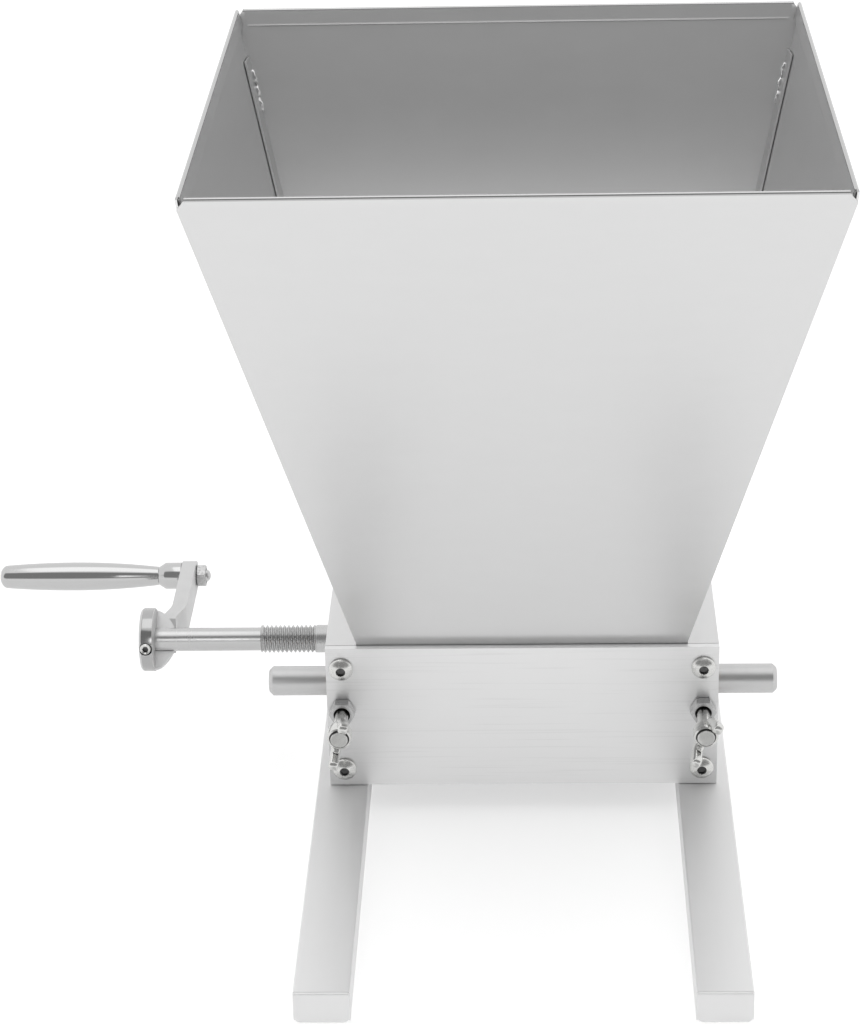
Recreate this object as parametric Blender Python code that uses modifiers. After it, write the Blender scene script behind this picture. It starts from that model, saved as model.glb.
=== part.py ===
# Two-roller grain mill with a sheet hopper, a hand crank and two long foot rails.
# Lengths are in metres. +X is to the right of someone who faces the front plate,
# +Y runs from the front plate to the back plate and +Z is up.

import math

import bmesh
import bpy
from mathutils import Matrix, Vector

# The whole mill, from the floor to the hopper's rim
MILL_HEIGHT = 0.3162

# General fits
FIT_GAP = 0.0003
CUT_OVERRUN = 0.001

# Rollers and the room around them
ROLLER_DIAMETER = 0.038
ROLLER_GAP = 0.0013
ROLLER_CHAMFER = 0.0006
FRONT_CLEARANCE = 0.0013
REAR_CLEARANCE = 0.0094
COLLAR_CLEARANCE = 0.0025

# Mill block: two side plates between a front and a back plate
BLOCK_WIDTH = 0.170
BLOCK_HEIGHT = 0.068
SIDE_THICKNESS = 0.0133
FACE_THICKNESS = 0.0032

# Hopper of folded sheet
SHEET = 0.001
MOUTH_WIDTH = 0.256
MOUTH_DEPTH = 0.256
COLLAR_DEPTH = 0.007
HEM_HEIGHT = 0.007
FLANGE_WIDTH = 0.0145
FLANGE_TOP_DROP = 0.016
FLANGE_FOOT_RISE = 0.004

# Foot rails
RAIL_LENGTH = 0.4104
RAIL_WIDTH = 0.0226
RAIL_HEIGHT = 0.0136
RAIL_OVERHANG = 0.0057
RAIL_SHEET = 0.0015
RAIL_CORNER_RADIUS = 0.003

# Drive shaft and its bushes
SHAFT_DIAMETER = 0.0127
ROD_DIAMETER = 0.0106
THREAD_PITCH = 0.001954
THREAD_TURNS = 13
THREAD_SHOULDER = 0.0083
ROD_LENGTH = 0.0403
SHAFT_END_CHAMFER = 0.0006
BUSH_DIAMETER = 0.018
BUSH_FLANGE_DIAMETER = 0.022
FLANGE_THICKNESS = 0.0015

# Idler shaft and its sliding bearing blocks
IDLER_SHAFT_DIAMETER = 0.013
STUB_LENGTH = 0.027
STUB_CHAMFER = 0.0018
BEARING_LENGTH = 0.020
BEARING_HEIGHT = 0.020
BEARING_LIP = 0.003
CLOSING_TRAVEL = 0.001
OPENING_TRAVEL = 0.0008

# Button head screws of the block
SCREW_DIAMETER = 0.0058
SCREW_LENGTH = 0.016
SCREW_HEAD_DIAMETER = 0.0105
SCREW_HEAD_HEIGHT = 0.0033
SOCKET_WIDTH = 0.004
SOCKET_DEPTH = 0.002
SCREW_INSET_TOP = 0.0098
SCREW_INSET_BOTTOM = 0.0083

# Rail screws
RAIL_SCREW_DIAMETER = 0.0048
RAIL_SCREW_LENGTH = 0.0125
RAIL_SCREW_HEAD_DIAMETER = 0.0092
RAIL_SCREW_HEAD_HEIGHT = 0.0027
RAIL_SCREW_SPACING = 0.040

# Wing screws and their lock nuts
WING_SCREW_DIAMETER = 0.0058
WING_SCREW_DROP = 0.0013
WING_BOSS_START = 0.0183
WING_BOSS_LENGTH = 0.0085
WING_BOSS_BASE_DIAMETER = 0.0100
WING_BOSS_END_DIAMETER = 0.0082
WING_REACH = 0.0093
WING_SWEEP = 0.0054
WING_TIP_RADIUS = 0.0023
WING_TIP_FROM, WING_TIP_TO = -42, 160
WING_ROOT_REACH = 0.0025
WING_ELBOW_OUTER = (0.0084, 0.0046)
WING_ELBOW_INNER = (0.0054, 0.0076)
WING_ROOT_START = 0.0010
WING_ROOT_END = 0.0062
WING_THICKNESS = 0.0042
LEFT_WING_ANGLE = math.radians(11)
RIGHT_WING_ANGLE = math.radians(29)
NUT_WIDTH = 0.010
NUT_THICKNESS = 0.005
NUT_CHAMFER = 0.0005

# Crank arm with its hub
HUB_DIAMETER = 0.0288
HUB_RIM = 0.0063
HUB_FLARE = 0.0081
HUB_FLARE_POWER = 1.8
HUB_FACE_TILT = math.radians(40)
HUB_CHAMFER = 0.0005
CRANK_RADIUS = 0.064
ARM_WIDTH = 0.014
ARM_THICKNESS = 0.0066
ARM_INBOARD_STEP = 0.0041
ARM_ROOT_OFFSET = 0.0036
ARM_BEND_START = 0.009
ARM_BEND_END = 0.021
SET_SCREW_DIAMETER = 0.005
SET_SCREW_PROUD = 0.0004
SET_SCREW_SOCKET_WIDTH = 0.0025
SET_SCREW_SOCKET_DEPTH = 0.002
SET_SCREW_LIFT = math.radians(10)

# Grip, its spindle and nut
GRIP_LENGTH = 0.0760
GRIP_END_DIAMETER = 0.0103
GRIP_BELLY_DIAMETER = 0.0135
GRIP_NECK_DIAMETER = 0.0088
GRIP_END_ROUNDING = 0.0036
GRIP_BELLY_SHARE = 0.48
GRIP_BORE_DIAMETER = 0.0066
GRIP_BORE_END = 0.007
SPINDLE_DIAMETER = 0.006
SPINDLE_COLLAR_DIAMETER = 0.0127
SPINDLE_COLLAR_LENGTH = 0.0109
SPINDLE_COLLAR_TAPER = 0.0030
STUD_DIAMETER = 0.0058
STUD_DOME = 0.0022
GRIP_NUT_WIDTH = 0.0098
GRIP_NUT_THICKNESS = 0.0042

# Facet counts
FINE_STEPS = 48
ROUND_STEPS = 32
SMALL_STEPS = 20
SCREW_STEPS = 16
HEM_STEPS = 4
ARC_STEPS = 6
ARM_END_STEPS = 12

# Heights of the block and the level of both roller axes
BLOCK_BOTTOM = RAIL_HEIGHT + FIT_GAP
BLOCK_TOP = BLOCK_BOTTOM + BLOCK_HEIGHT
HOPPER_RISE = MILL_HEIGHT - BLOCK_TOP
ROLLER_RADIUS = ROLLER_DIAMETER / 2
AXIS_Z = BLOCK_TOP - COLLAR_DEPTH - COLLAR_CLEARANCE - ROLLER_RADIUS
WING_SCREW_Z = AXIS_Z - WING_SCREW_DROP

# Depths: the block is centred on Y, the idler roller is in front
BLOCK_DEPTH = 2 * (FACE_THICKNESS + ROLLER_DIAMETER) + FRONT_CLEARANCE + ROLLER_GAP + REAR_CLEARANCE
FRONT_Y = -BLOCK_DEPTH / 2
BACK_Y = BLOCK_DEPTH / 2
IDLER_Y = FRONT_Y + FACE_THICKNESS + FRONT_CLEARANCE + ROLLER_RADIUS
DRIVE_Y = IDLER_Y + ROLLER_DIAMETER + ROLLER_GAP

# Widths: both halves are alike up to the block's sides
SIDE_X = BLOCK_WIDTH / 2
INNER_X = SIDE_X - SIDE_THICKNESS
SIDE_MIDDLE_X = SIDE_X - SIDE_THICKNESS / 2
FLANGE_X = INNER_X - FIT_GAP
ROLLER_HALF_LENGTH = FLANGE_X - FLANGE_THICKNESS - FIT_GAP
BASE_HALF_WIDTH = INNER_X - FIT_GAP
BASE_HALF_DEPTH = BACK_Y - FACE_THICKNESS - FIT_GAP

# The fold of the hem: its outer radius leaves the fit gap between both layers
FOLD_RADIUS = SHEET + FIT_GAP / 2
NOTCH_WIDTH = 2 * FOLD_RADIUS + 3 * FIT_GAP

# Stations along the crank, going left from the block's side
THREAD_START_X = -SIDE_X - THREAD_SHOULDER
THREAD_END_X = THREAD_START_X - THREAD_TURNS * THREAD_PITCH
NOSE_X = THREAD_END_X - ROD_LENGTH
RIM_X = NOSE_X - HUB_FLARE
HUB_END_X = RIM_X - HUB_RIM
ARM_INBOARD_X = NOSE_X + ARM_INBOARD_STEP
ARM_OUTBOARD_X = ARM_INBOARD_X - ARM_THICKNESS
COLLAR_END_X = ARM_OUTBOARD_X - FIT_GAP - SPINDLE_COLLAR_LENGTH
GRIP_NECK_X = COLLAR_END_X - FIT_GAP
GRIP_TIP_X = GRIP_NECK_X - GRIP_LENGTH
GRIP_Y = DRIVE_Y + CRANK_RADIUS

# The origin lies under the middle of the whole object, crank and hopper mouth together
MILL_X = (-GRIP_TIP_X - MOUTH_WIDTH / 2) / 2

TURN_TO_X = (0, math.pi / 2, 0)


# Scene, collections and frames

def clear_scene():
    for item in list(bpy.data.objects):
        bpy.data.objects.remove(item, do_unlink=True)


def new_collection(name):
    collection = bpy.data.collections.new(name)
    bpy.context.scene.collection.children.link(collection)
    return collection


clear_scene()
PARTS = new_collection("grain_mill")
CUTTERS = new_collection("cutters")
FRAMES = {}


def new_frame(name, at, parent=None):
    """An empty on a joint axis; `at` is given in the block's own coordinates."""
    frame = bpy.data.objects.new(name, None)
    PARTS.objects.link(frame)
    frame.empty_display_size = ROLLER_RADIUS
    FRAMES[name] = Vector(at)
    if parent is None:
        frame.location = (MILL_X + at[0], at[1], at[2])
    else:
        frame.parent = parent
        frame.location = Vector(at) - FRAMES[parent.name]
    return frame


def place(item, parent, at, rotation=(0, 0, 0)):
    item.parent = parent
    item.location = Vector(at) - FRAMES[parent.name]
    item.rotation_euler = rotation
    return item


# Materials

def metal(name, colour, roughness):
    material = bpy.data.materials.new(name)
    material.use_nodes = True
    shader = material.node_tree.nodes["Principled BSDF"]
    shader.inputs["Base Color"].default_value = (*colour, 1)
    shader.inputs["Roughness"].default_value = roughness
    shader.inputs["Metallic"].default_value = 1.0
    return material


def satin_stainless():
    return metal("satin_stainless_sheet", (0.68, 0.68, 0.68), 0.34)


def brushed_aluminium():
    return metal("brushed_aluminium_plate", (0.76, 0.76, 0.76), 0.38)


def rail_steel():
    return metal("satin_rail_sheet", (0.70, 0.70, 0.70), 0.36)


def turned_steel():
    return metal("turned_steel", (0.62, 0.62, 0.62), 0.24)


def roller_steel():
    return metal("knurled_roller_steel", (0.46, 0.46, 0.47), 0.42)


def polished_steel():
    return metal("polished_steel", (0.80, 0.80, 0.80), 0.10)


def cast_crank_steel():
    return metal("satin_crank_steel", (0.70, 0.70, 0.70), 0.28)


def zinc_steel():
    return metal("zinc_plated_steel", (0.72, 0.72, 0.70), 0.26)


def bush_bronze():
    return metal("sintered_bronze", (0.55, 0.38, 0.20), 0.45)


# Mesh helpers

def mesh_object(name, mesh, material, collection=PARTS):
    item = bpy.data.objects.new(name, mesh)
    collection.objects.link(item)
    if material is not None:
        mesh.materials.append(material)
    return item


def from_bmesh(name, shape, material, collection=PARTS):
    mesh = bpy.data.meshes.new(name)
    shape.to_mesh(mesh)
    shape.free()
    return mesh_object(name, mesh, material, collection)


def add_box(shape, low, high):
    low, high = Vector(low), Vector(high)
    size = high - low
    place_it = Matrix.Translation((low + high) / 2) @ Matrix.Diagonal((*size, 1))
    bmesh.ops.create_cube(shape, size=1, matrix=place_it)


def add_cylinder(shape, start, direction, radius, length, steps):
    direction = Vector(direction)
    middle = Vector(start) + direction * (length / 2)
    turn = direction.to_track_quat("Z", "Y").to_matrix().to_4x4()
    bmesh.ops.create_cone(shape, cap_ends=True, segments=steps, radius1=radius, radius2=radius,
                          depth=length, matrix=Matrix.Translation(middle) @ turn)


def turned(name, profile, material, steps, closed=False, collection=PARTS):
    """A profile of (radius, height) points from the top down, turned about its own Z axis."""
    points = [(radius, 0, height) for radius, height in profile]
    count = len(points)
    edges = [(index, (index + 1) % count) for index in range(count if closed else count - 1)]
    mesh = bpy.data.meshes.new(name)
    mesh.from_pydata(points, edges, [])
    item = mesh_object(name, mesh, material, collection)
    screw = item.modifiers.new("turn", "SCREW")
    screw.axis = "Z"
    screw.steps = steps
    screw.render_steps = steps
    screw.use_merge_vertices = True
    screw.merge_threshold = 0.00001
    screw.use_smooth_shade = False
    return item


def solid_sheet(item, thickness):
    """Thickens an open sheet towards its back."""
    solid = item.modifiers.new("thickness", "SOLIDIFY")
    solid.thickness = thickness
    solid.offset = -1
    solid.use_even_offset = True


def flat_outline(name, outline, thickness):
    """A filled 2D curve of the given thickness, made a mesh so that it can be cut or joined."""
    curve = bpy.data.curves.new(name, "CURVE")
    curve.dimensions = "2D"
    curve.fill_mode = "BOTH"
    curve.extrude = thickness / 2
    line = curve.splines.new("POLY")
    line.points.add(len(outline) - 1)
    for point, (across, along) in zip(line.points, outline):
        point.co = (across, along, 0, 1)
    line.use_cyclic_u = True
    guide = bpy.data.objects.new(name + "_curve", curve)
    CUTTERS.objects.link(guide)
    graph = bpy.context.evaluated_depsgraph_get()
    mesh = bpy.data.meshes.new_from_object(guide.evaluated_get(graph))
    bpy.data.objects.remove(guide)
    shape = bmesh.new()
    shape.from_mesh(mesh)
    bmesh.ops.remove_doubles(shape, verts=shape.verts, dist=0.000001)
    bmesh.ops.recalc_face_normals(shape, faces=shape.faces)
    shape.to_mesh(mesh)
    shape.free()
    return mesh


def as_tool(item):
    """Marks an object that only cuts or joins another one."""
    item.hide_render = True
    item.display_type = "WIRE"
    return item


def boolean(item, tool, operation):
    step = item.modifiers.new(tool.name, "BOOLEAN")
    step.operation = operation
    step.solver = "EXACT"
    step.object = tool
    return item


def shade_round(item):
    item.data.shade_smooth()
    item.data.set_sharp_from_angle(angle=math.radians(35))


def arc(centre, radius, start, end, steps):
    """Points on an arc, both ends included; angles in degrees."""
    points = []
    for index in range(steps + 1):
        angle = math.radians(start + (end - start) * index / steps)
        points.append((centre[0] + radius * math.cos(angle), centre[1] + radius * math.sin(angle)))
    return points


# Hopper

def half_width_at(height):
    """Half the hopper's outer width at a height above the block's top."""
    share = max(height, 0) / HOPPER_RISE
    return BASE_HALF_WIDTH + (MOUTH_WIDTH / 2 - BASE_HALF_WIDTH) * share


def half_depth_at(height):
    share = max(height, 0) / HOPPER_RISE
    return BASE_HALF_DEPTH + (MOUTH_DEPTH / 2 - BASE_HALF_DEPTH) * share


def panel_rows(base, mouth):
    """Distance out and height of each fold line of a panel, with how far the hem is cut back."""
    lean = math.atan2(mouth - base, HOPPER_RISE)
    rise, out = math.cos(lean), math.sin(lean)
    slope = (HOPPER_RISE - FOLD_RADIUS * out) / rise
    rows = [(base, -COLLAR_DEPTH, 0), (base, 0, 0)]
    hem_start = slope - HEM_HEIGHT
    rows.append((base + hem_start * out, hem_start * rise, 0))
    fold_start = slope - FOLD_RADIUS
    for index in range(HEM_STEPS + 1):
        angle = math.pi * index / HEM_STEPS
        along = fold_start + FOLD_RADIUS * math.sin(angle)
        inward = FOLD_RADIUS * (1 - math.cos(angle))
        rows.append((base + along * out - inward * rise, along * rise + inward * out, NOTCH_WIDTH))
    inward = 2 * FOLD_RADIUS
    rows.append((base + hem_start * out - inward * rise, hem_start * rise + inward * out, NOTCH_WIDTH))
    return rows


def hopper_panel(name, outward, base, mouth, half_length_at, material):
    """One wall of the hopper: collar, waist fold, flared wall and a hem folded inwards."""
    outward = Vector(outward)
    along = Vector((0, 0, 1)).cross(outward)
    shape = bmesh.new()
    rows = []
    for distance, height, cut_back in panel_rows(base, mouth):
        half = half_length_at(height) - cut_back
        middle = outward * distance + Vector((0, 0, height))
        rows.append((shape.verts.new(middle - along * half), shape.verts.new(middle + along * half)))
    for lower, upper in zip(rows, rows[1:]):
        shape.faces.new((lower[0], lower[1], upper[1], upper[0]))
    item = from_bmesh(name, shape, material)
    solid_sheet(item, SHEET)
    return place(item, mill, (0, 0, BLOCK_TOP))


def make_hopper():
    """Side panels stand between the front and back ones, whose flanges lie inside them."""
    steel = satin_stainless()
    lean = math.atan2(MOUTH_DEPTH / 2 - BASE_HALF_DEPTH, HOPPER_RISE)
    wall = SHEET / math.cos(lean) + FIT_GAP

    def between_walls(height):
        return half_depth_at(height) - wall

    for name, back in (("hopper_front_panel", -1), ("hopper_back_panel", 1)):
        panel = hopper_panel(name, (0, back, 0), BASE_HALF_DEPTH, MOUTH_DEPTH / 2, half_width_at, steel)
        for right in (-1, 1):
            boolean(panel, panel_flange(name, right, back), "UNION")
    for name, right in (("hopper_left_panel", -1), ("hopper_right_panel", 1)):
        hopper_panel(name, (right, 0, 0), BASE_HALF_WIDTH, MOUTH_WIDTH / 2, between_walls, steel)


def panel_flange(name, right, back):
    """Narrow flange of a front or back panel, lying against the inside of a side panel."""
    side_lean = math.atan2(MOUTH_WIDTH / 2 - BASE_HALF_WIDTH, HOPPER_RISE)
    wall_lean = math.atan2(MOUTH_DEPTH / 2 - BASE_HALF_DEPTH, HOPPER_RISE)
    side_wall = (SHEET + FIT_GAP) / math.cos(side_lean)
    root = SHEET / 2 / math.cos(wall_lean)

    def point(height, setback):
        across = right * (half_width_at(height) - side_wall)
        along = back * (half_depth_at(height) - root - setback)
        return (across, along, height)

    top = HOPPER_RISE - FLANGE_TOP_DROP
    outline = [point(FLANGE_FOOT_RISE, 0), point(FLANGE_FOOT_RISE, FLANGE_WIDTH),
               point(top - FLANGE_WIDTH, FLANGE_WIDTH), point(top, 0)]
    if right * back > 0:
        outline.reverse()
    shape = bmesh.new()
    shape.faces.new([shape.verts.new(corner) for corner in outline])
    flange = from_bmesh(name + "_flange", shape, None, CUTTERS)
    solid_sheet(flange, SHEET)
    return as_tool(place(flange, mill, (0, 0, BLOCK_TOP)))


# Block

def screw_heights():
    return {"upper": BLOCK_TOP - SCREW_INSET_TOP, "lower": BLOCK_BOTTOM + SCREW_INSET_BOTTOM}


def make_face_plate(name, outer_y, facing, material):
    """Front or back plate with its screw holes; the front one also lets the wing screws through."""
    inner_y = outer_y - facing * FACE_THICKNESS
    shape = bmesh.new()
    add_box(shape, (-SIDE_X, min(outer_y, inner_y), BLOCK_BOTTOM),
            (SIDE_X, max(outer_y, inner_y), BLOCK_TOP))
    plate = place(from_bmesh(name, shape, material), mill, (0, 0, 0))
    holes = bmesh.new()
    start_y = outer_y + facing * CUT_OVERRUN
    length = FACE_THICKNESS + 2 * CUT_OVERRUN
    for right in (-1, 1):
        for height in screw_heights().values():
            add_cylinder(holes, (right * SIDE_MIDDLE_X, start_y, height), (0, -facing, 0),
                         SCREW_DIAMETER / 2 + FIT_GAP, length, SMALL_STEPS)
        if facing < 0:
            add_cylinder(holes, (right * SIDE_MIDDLE_X, start_y, WING_SCREW_Z), (0, -facing, 0),
                         WING_SCREW_DIAMETER / 2 + FIT_GAP, length, SMALL_STEPS)
    tool = as_tool(place(from_bmesh(name + "_holes", holes, None, CUTTERS), mill, (0, 0, 0)))
    boolean(plate, tool, "DIFFERENCE")


def make_side_plate(side, right, material):
    """Side plate with the bush bore, the slot of the sliding bearing and all screw holes."""
    name = side + "_side_plate"
    inner, outer = right * INNER_X, right * SIDE_X
    middle = right * SIDE_MIDDLE_X
    shape = bmesh.new()
    add_box(shape, (min(inner, outer), -BASE_HALF_DEPTH, BLOCK_BOTTOM),
            (max(inner, outer), BASE_HALF_DEPTH, BLOCK_TOP))
    plate = place(from_bmesh(name, shape, material), mill, (0, 0, 0))

    slot = bmesh.new()
    half_height = BEARING_HEIGHT / 2 + FIT_GAP
    add_box(slot, (min(inner, outer) - CUT_OVERRUN, SLOT_FRONT_Y, AXIS_Z - half_height),
            (max(inner, outer) + CUT_OVERRUN, SLOT_BACK_Y, AXIS_Z + half_height))
    tool = as_tool(place(from_bmesh(name + "_slot", slot, None, CUTTERS), mill, (0, 0, 0)))
    boolean(plate, tool, "DIFFERENCE")

    holes = bmesh.new()
    add_cylinder(holes, (min(inner, outer) - CUT_OVERRUN, DRIVE_Y, AXIS_Z), (1, 0, 0),
                 BUSH_DIAMETER / 2 + FIT_GAP, SIDE_THICKNESS + 2 * CUT_OVERRUN, ROUND_STEPS)
    add_cylinder(holes, (middle, -BASE_HALF_DEPTH - CUT_OVERRUN, WING_SCREW_Z), (0, 1, 0),
                 WING_SCREW_DIAMETER / 2 + FIT_GAP,
                 SLOT_FRONT_Y + BASE_HALF_DEPTH + 2 * CUT_OVERRUN, SMALL_STEPS)
    depth = SCREW_LENGTH - FACE_THICKNESS + 2 * CUT_OVERRUN
    for height in screw_heights().values():
        for facing in (-1, 1):
            add_cylinder(holes, (middle, facing * (BASE_HALF_DEPTH + CUT_OVERRUN), height),
                         (0, -facing, 0), SCREW_DIAMETER / 2 + FIT_GAP, depth, SMALL_STEPS)
    for along in (-1, 1):
        add_cylinder(holes, (middle, along * RAIL_SCREW_SPACING / 2, BLOCK_BOTTOM - CUT_OVERRUN),
                     (0, 0, 1), RAIL_SCREW_DIAMETER / 2 + FIT_GAP,
                     RAIL_SCREW_LENGTH - RAIL_SHEET + 2 * CUT_OVERRUN, SCREW_STEPS)
    tool = as_tool(place(from_bmesh(name + "_holes", holes, None, CUTTERS), mill, (0, 0, 0)))
    boolean(plate, tool, "DIFFERENCE")


def make_drive_bush(side, right, material):
    """Flanged bush: the flange is inside, between the side plate and the roller."""
    bore = SHAFT_DIAMETER / 2 + FIT_GAP
    body, flange = BUSH_DIAMETER / 2, BUSH_FLANGE_DIAMETER / 2
    length = SIDE_THICKNESS + FIT_GAP
    profile = [(bore, length), (body, length), (body, 0), (flange, 0), (flange, -FLANGE_THICKNESS),
               (bore, -FLANGE_THICKNESS)]
    bush = turned(side + "_drive_bush", profile, material, ROUND_STEPS, closed=True)
    shade_round(bush)
    rotation = (0, right * math.pi / 2, 0)
    place(bush, mill, (right * FLANGE_X, DRIVE_Y, AXIS_Z), rotation)


def button_screw_profile(diameter, length, head_diameter, head_height):
    """Domed head at the top, shank below it, closed on the axis at both ends."""
    head, shank = head_diameter / 2, diameter / 2
    rim = head_height / 4
    shoulder = (head + shank) / 2
    return [(0, head_height), (shank, head_height), (shoulder + shank / 4, head_height - rim),
            (head, rim), (head, 0), (shank, 0), (shank, -length + shank / 4),
            (shank - shank / 4, -length), (0, -length)]


def socket_tool(name, width, depth, top):
    """Six-sided pocket, cut down from the given height."""
    shape = bmesh.new()
    add_cylinder(shape, (0, 0, top + CUT_OVERRUN), (0, 0, -1), width / math.sqrt(3),
                 depth + CUT_OVERRUN, 6)
    return as_tool(from_bmesh(name, shape, None, CUTTERS))


def make_block_screw(name, right, facing, height, material):
    profile = button_screw_profile(SCREW_DIAMETER, SCREW_LENGTH, SCREW_HEAD_DIAMETER, SCREW_HEAD_HEIGHT)
    screw = turned(name, profile, material, SCREW_STEPS)
    tool = socket_tool(name + "_socket", SOCKET_WIDTH, SOCKET_DEPTH, SCREW_HEAD_HEIGHT)
    at = (right * SIDE_MIDDLE_X, facing * (BACK_Y + FIT_GAP), height)
    rotation = (-facing * math.pi / 2, 0, 0)
    place(screw, mill, at, rotation)
    place(tool, mill, at, rotation)
    boolean(screw, tool, "DIFFERENCE")


def make_rail_screw(name, right, along, material):
    profile = button_screw_profile(RAIL_SCREW_DIAMETER, RAIL_SCREW_LENGTH, RAIL_SCREW_HEAD_DIAMETER,
                                   RAIL_SCREW_HEAD_HEIGHT)
    screw = turned(name, profile, material, SCREW_STEPS)
    seat = RAIL_HEIGHT - RAIL_SHEET - FIT_GAP
    place(screw, mill, (right * SIDE_MIDDLE_X, along * RAIL_SCREW_SPACING / 2, seat), (math.pi, 0, 0))


def make_block():
    aluminium = brushed_aluminium()
    bronze = bush_bronze()
    zinc = zinc_steel()
    make_face_plate("front_plate", FRONT_Y, -1, aluminium)
    make_face_plate("back_plate", BACK_Y, 1, aluminium)
    for side, right in SIDES:
        make_side_plate(side, right, aluminium)
        make_drive_bush(side, right, bronze)
        for level, height in screw_heights().items():
            make_block_screw("front_screw_%s_%s" % (level, side), right, -1, height, zinc)
            make_block_screw("back_screw_%s_%s" % (level, side), right, 1, height, zinc)


# Foot rails

def corner_cut(side, radius):
    """Outline of what is cut off a lower corner to round it, seen from the rail's end."""
    out = side + CUT_OVERRUN
    outline = [(side - radius, -CUT_OVERRUN), (out, -CUT_OVERRUN), (out, radius)]
    outline += reversed(arc((side - radius, radius), radius, -90, 0, ARC_STEPS))
    return outline


def make_rail(side, right, material):
    """Channel folded from sheet: flat top, two long flanges and a tab turned down at each end."""
    name = side + "_foot_rail"
    centre = right * (SIDE_X + RAIL_OVERHANG - RAIL_WIDTH / 2)
    half_width, half_length = RAIL_WIDTH / 2, RAIL_LENGTH / 2
    shape = bmesh.new()
    add_box(shape, (-half_width, -half_length, 0), (half_width, half_length, RAIL_HEIGHT))
    rail = place(from_bmesh(name, shape, material), mill, (centre, 0, 0))

    hollow = bmesh.new()
    add_box(hollow, (RAIL_SHEET - half_width, RAIL_SHEET - half_length, -CUT_OVERRUN),
            (half_width - RAIL_SHEET, half_length - RAIL_SHEET, RAIL_HEIGHT - RAIL_SHEET))
    tool = as_tool(place(from_bmesh(name + "_hollow", hollow, None, CUTTERS), mill, (centre, 0, 0)))
    boolean(rail, tool, "DIFFERENCE")

    deep = RAIL_SHEET + FIT_GAP + CUT_OVERRUN
    for along in (-1, 1):
        for across in (-1, 1):
            cut = flat_outline(name + "_corner", corner_cut(half_width, RAIL_CORNER_RADIUS), deep)
            tool = as_tool(mesh_object(name + "_corner", cut, None, CUTTERS))
            middle = along * (half_length + CUT_OVERRUN - deep / 2)
            turn = (math.pi / 2, 0, 0) if across > 0 else (math.pi / 2, 0, math.pi)
            place(tool, mill, (centre, middle, 0), turn)
            boolean(rail, tool, "DIFFERENCE")

    holes = bmesh.new()
    for along in (-1, 1):
        start = (right * SIDE_MIDDLE_X, along * RAIL_SCREW_SPACING / 2, RAIL_HEIGHT + CUT_OVERRUN)
        add_cylinder(holes, start, (0, 0, -1), RAIL_SCREW_DIAMETER / 2 + FIT_GAP,
                     RAIL_SHEET + 2 * CUT_OVERRUN, SCREW_STEPS)
    tool = as_tool(place(from_bmesh(name + "_holes", holes, None, CUTTERS), mill, (0, 0, 0)))
    boolean(rail, tool, "DIFFERENCE")


def make_rails():
    steel = rail_steel()
    zinc = zinc_steel()
    for side, right in SIDES:
        make_rail(side, right, steel)
        make_rail_screw("rail_screw_front_" + side, right, -1, zinc)
        make_rail_screw("rail_screw_back_" + side, right, 1, zinc)


# Rollers and shafts

def make_roller(name, frame, frame_y, shaft_diameter, material):
    bore = shaft_diameter / 2 + FIT_GAP
    half, radius = ROLLER_HALF_LENGTH, ROLLER_RADIUS
    profile = [(bore, half), (radius - ROLLER_CHAMFER, half), (radius, half - ROLLER_CHAMFER),
               (radius, ROLLER_CHAMFER - half), (radius - ROLLER_CHAMFER, -half), (bore, -half)]
    roller = turned(name, profile, material, FINE_STEPS, closed=True)
    shade_round(roller)
    place(roller, frame, (0, frame_y, AXIS_Z), TURN_TO_X)


def make_drive_shaft(material):
    """Journal through both bushes, a threaded stretch outside the block and a thinner plain rod."""
    journal, rod = SHAFT_DIAMETER / 2, ROD_DIAMETER / 2
    right_end = SIDE_X - SHAFT_END_CHAMFER
    left_end = HUB_END_X + FIT_GAP
    profile = [(0, right_end), (journal - SHAFT_END_CHAMFER, right_end),
               (journal, right_end - SHAFT_END_CHAMFER), (journal, THREAD_START_X)]
    for turn in range(THREAD_TURNS):
        top = THREAD_START_X - turn * THREAD_PITCH
        profile.append((rod, top - THREAD_PITCH / 2))
        if turn < THREAD_TURNS - 1:
            profile.append((journal, top - THREAD_PITCH))
    profile += [(rod, left_end + SHAFT_END_CHAMFER), (rod - SHAFT_END_CHAMFER, left_end), (0, left_end)]
    shaft = turned("drive_shaft", profile, material, SMALL_STEPS + 4)
    place(shaft, crank_axis, (0, DRIVE_Y, AXIS_Z), TURN_TO_X)


def make_idler_shaft(material):
    radius, half = IDLER_SHAFT_DIAMETER / 2, SIDE_X + STUB_LENGTH
    profile = [(0, half), (radius - STUB_CHAMFER, half), (radius, half - STUB_CHAMFER),
               (radius, STUB_CHAMFER - half), (radius - STUB_CHAMFER, -half), (0, -half)]
    shaft = turned("idler_shaft", profile, material, ROUND_STEPS)
    shade_round(shaft)
    place(shaft, idler_axis, (0, IDLER_Y, AXIS_Z), TURN_TO_X)


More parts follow.
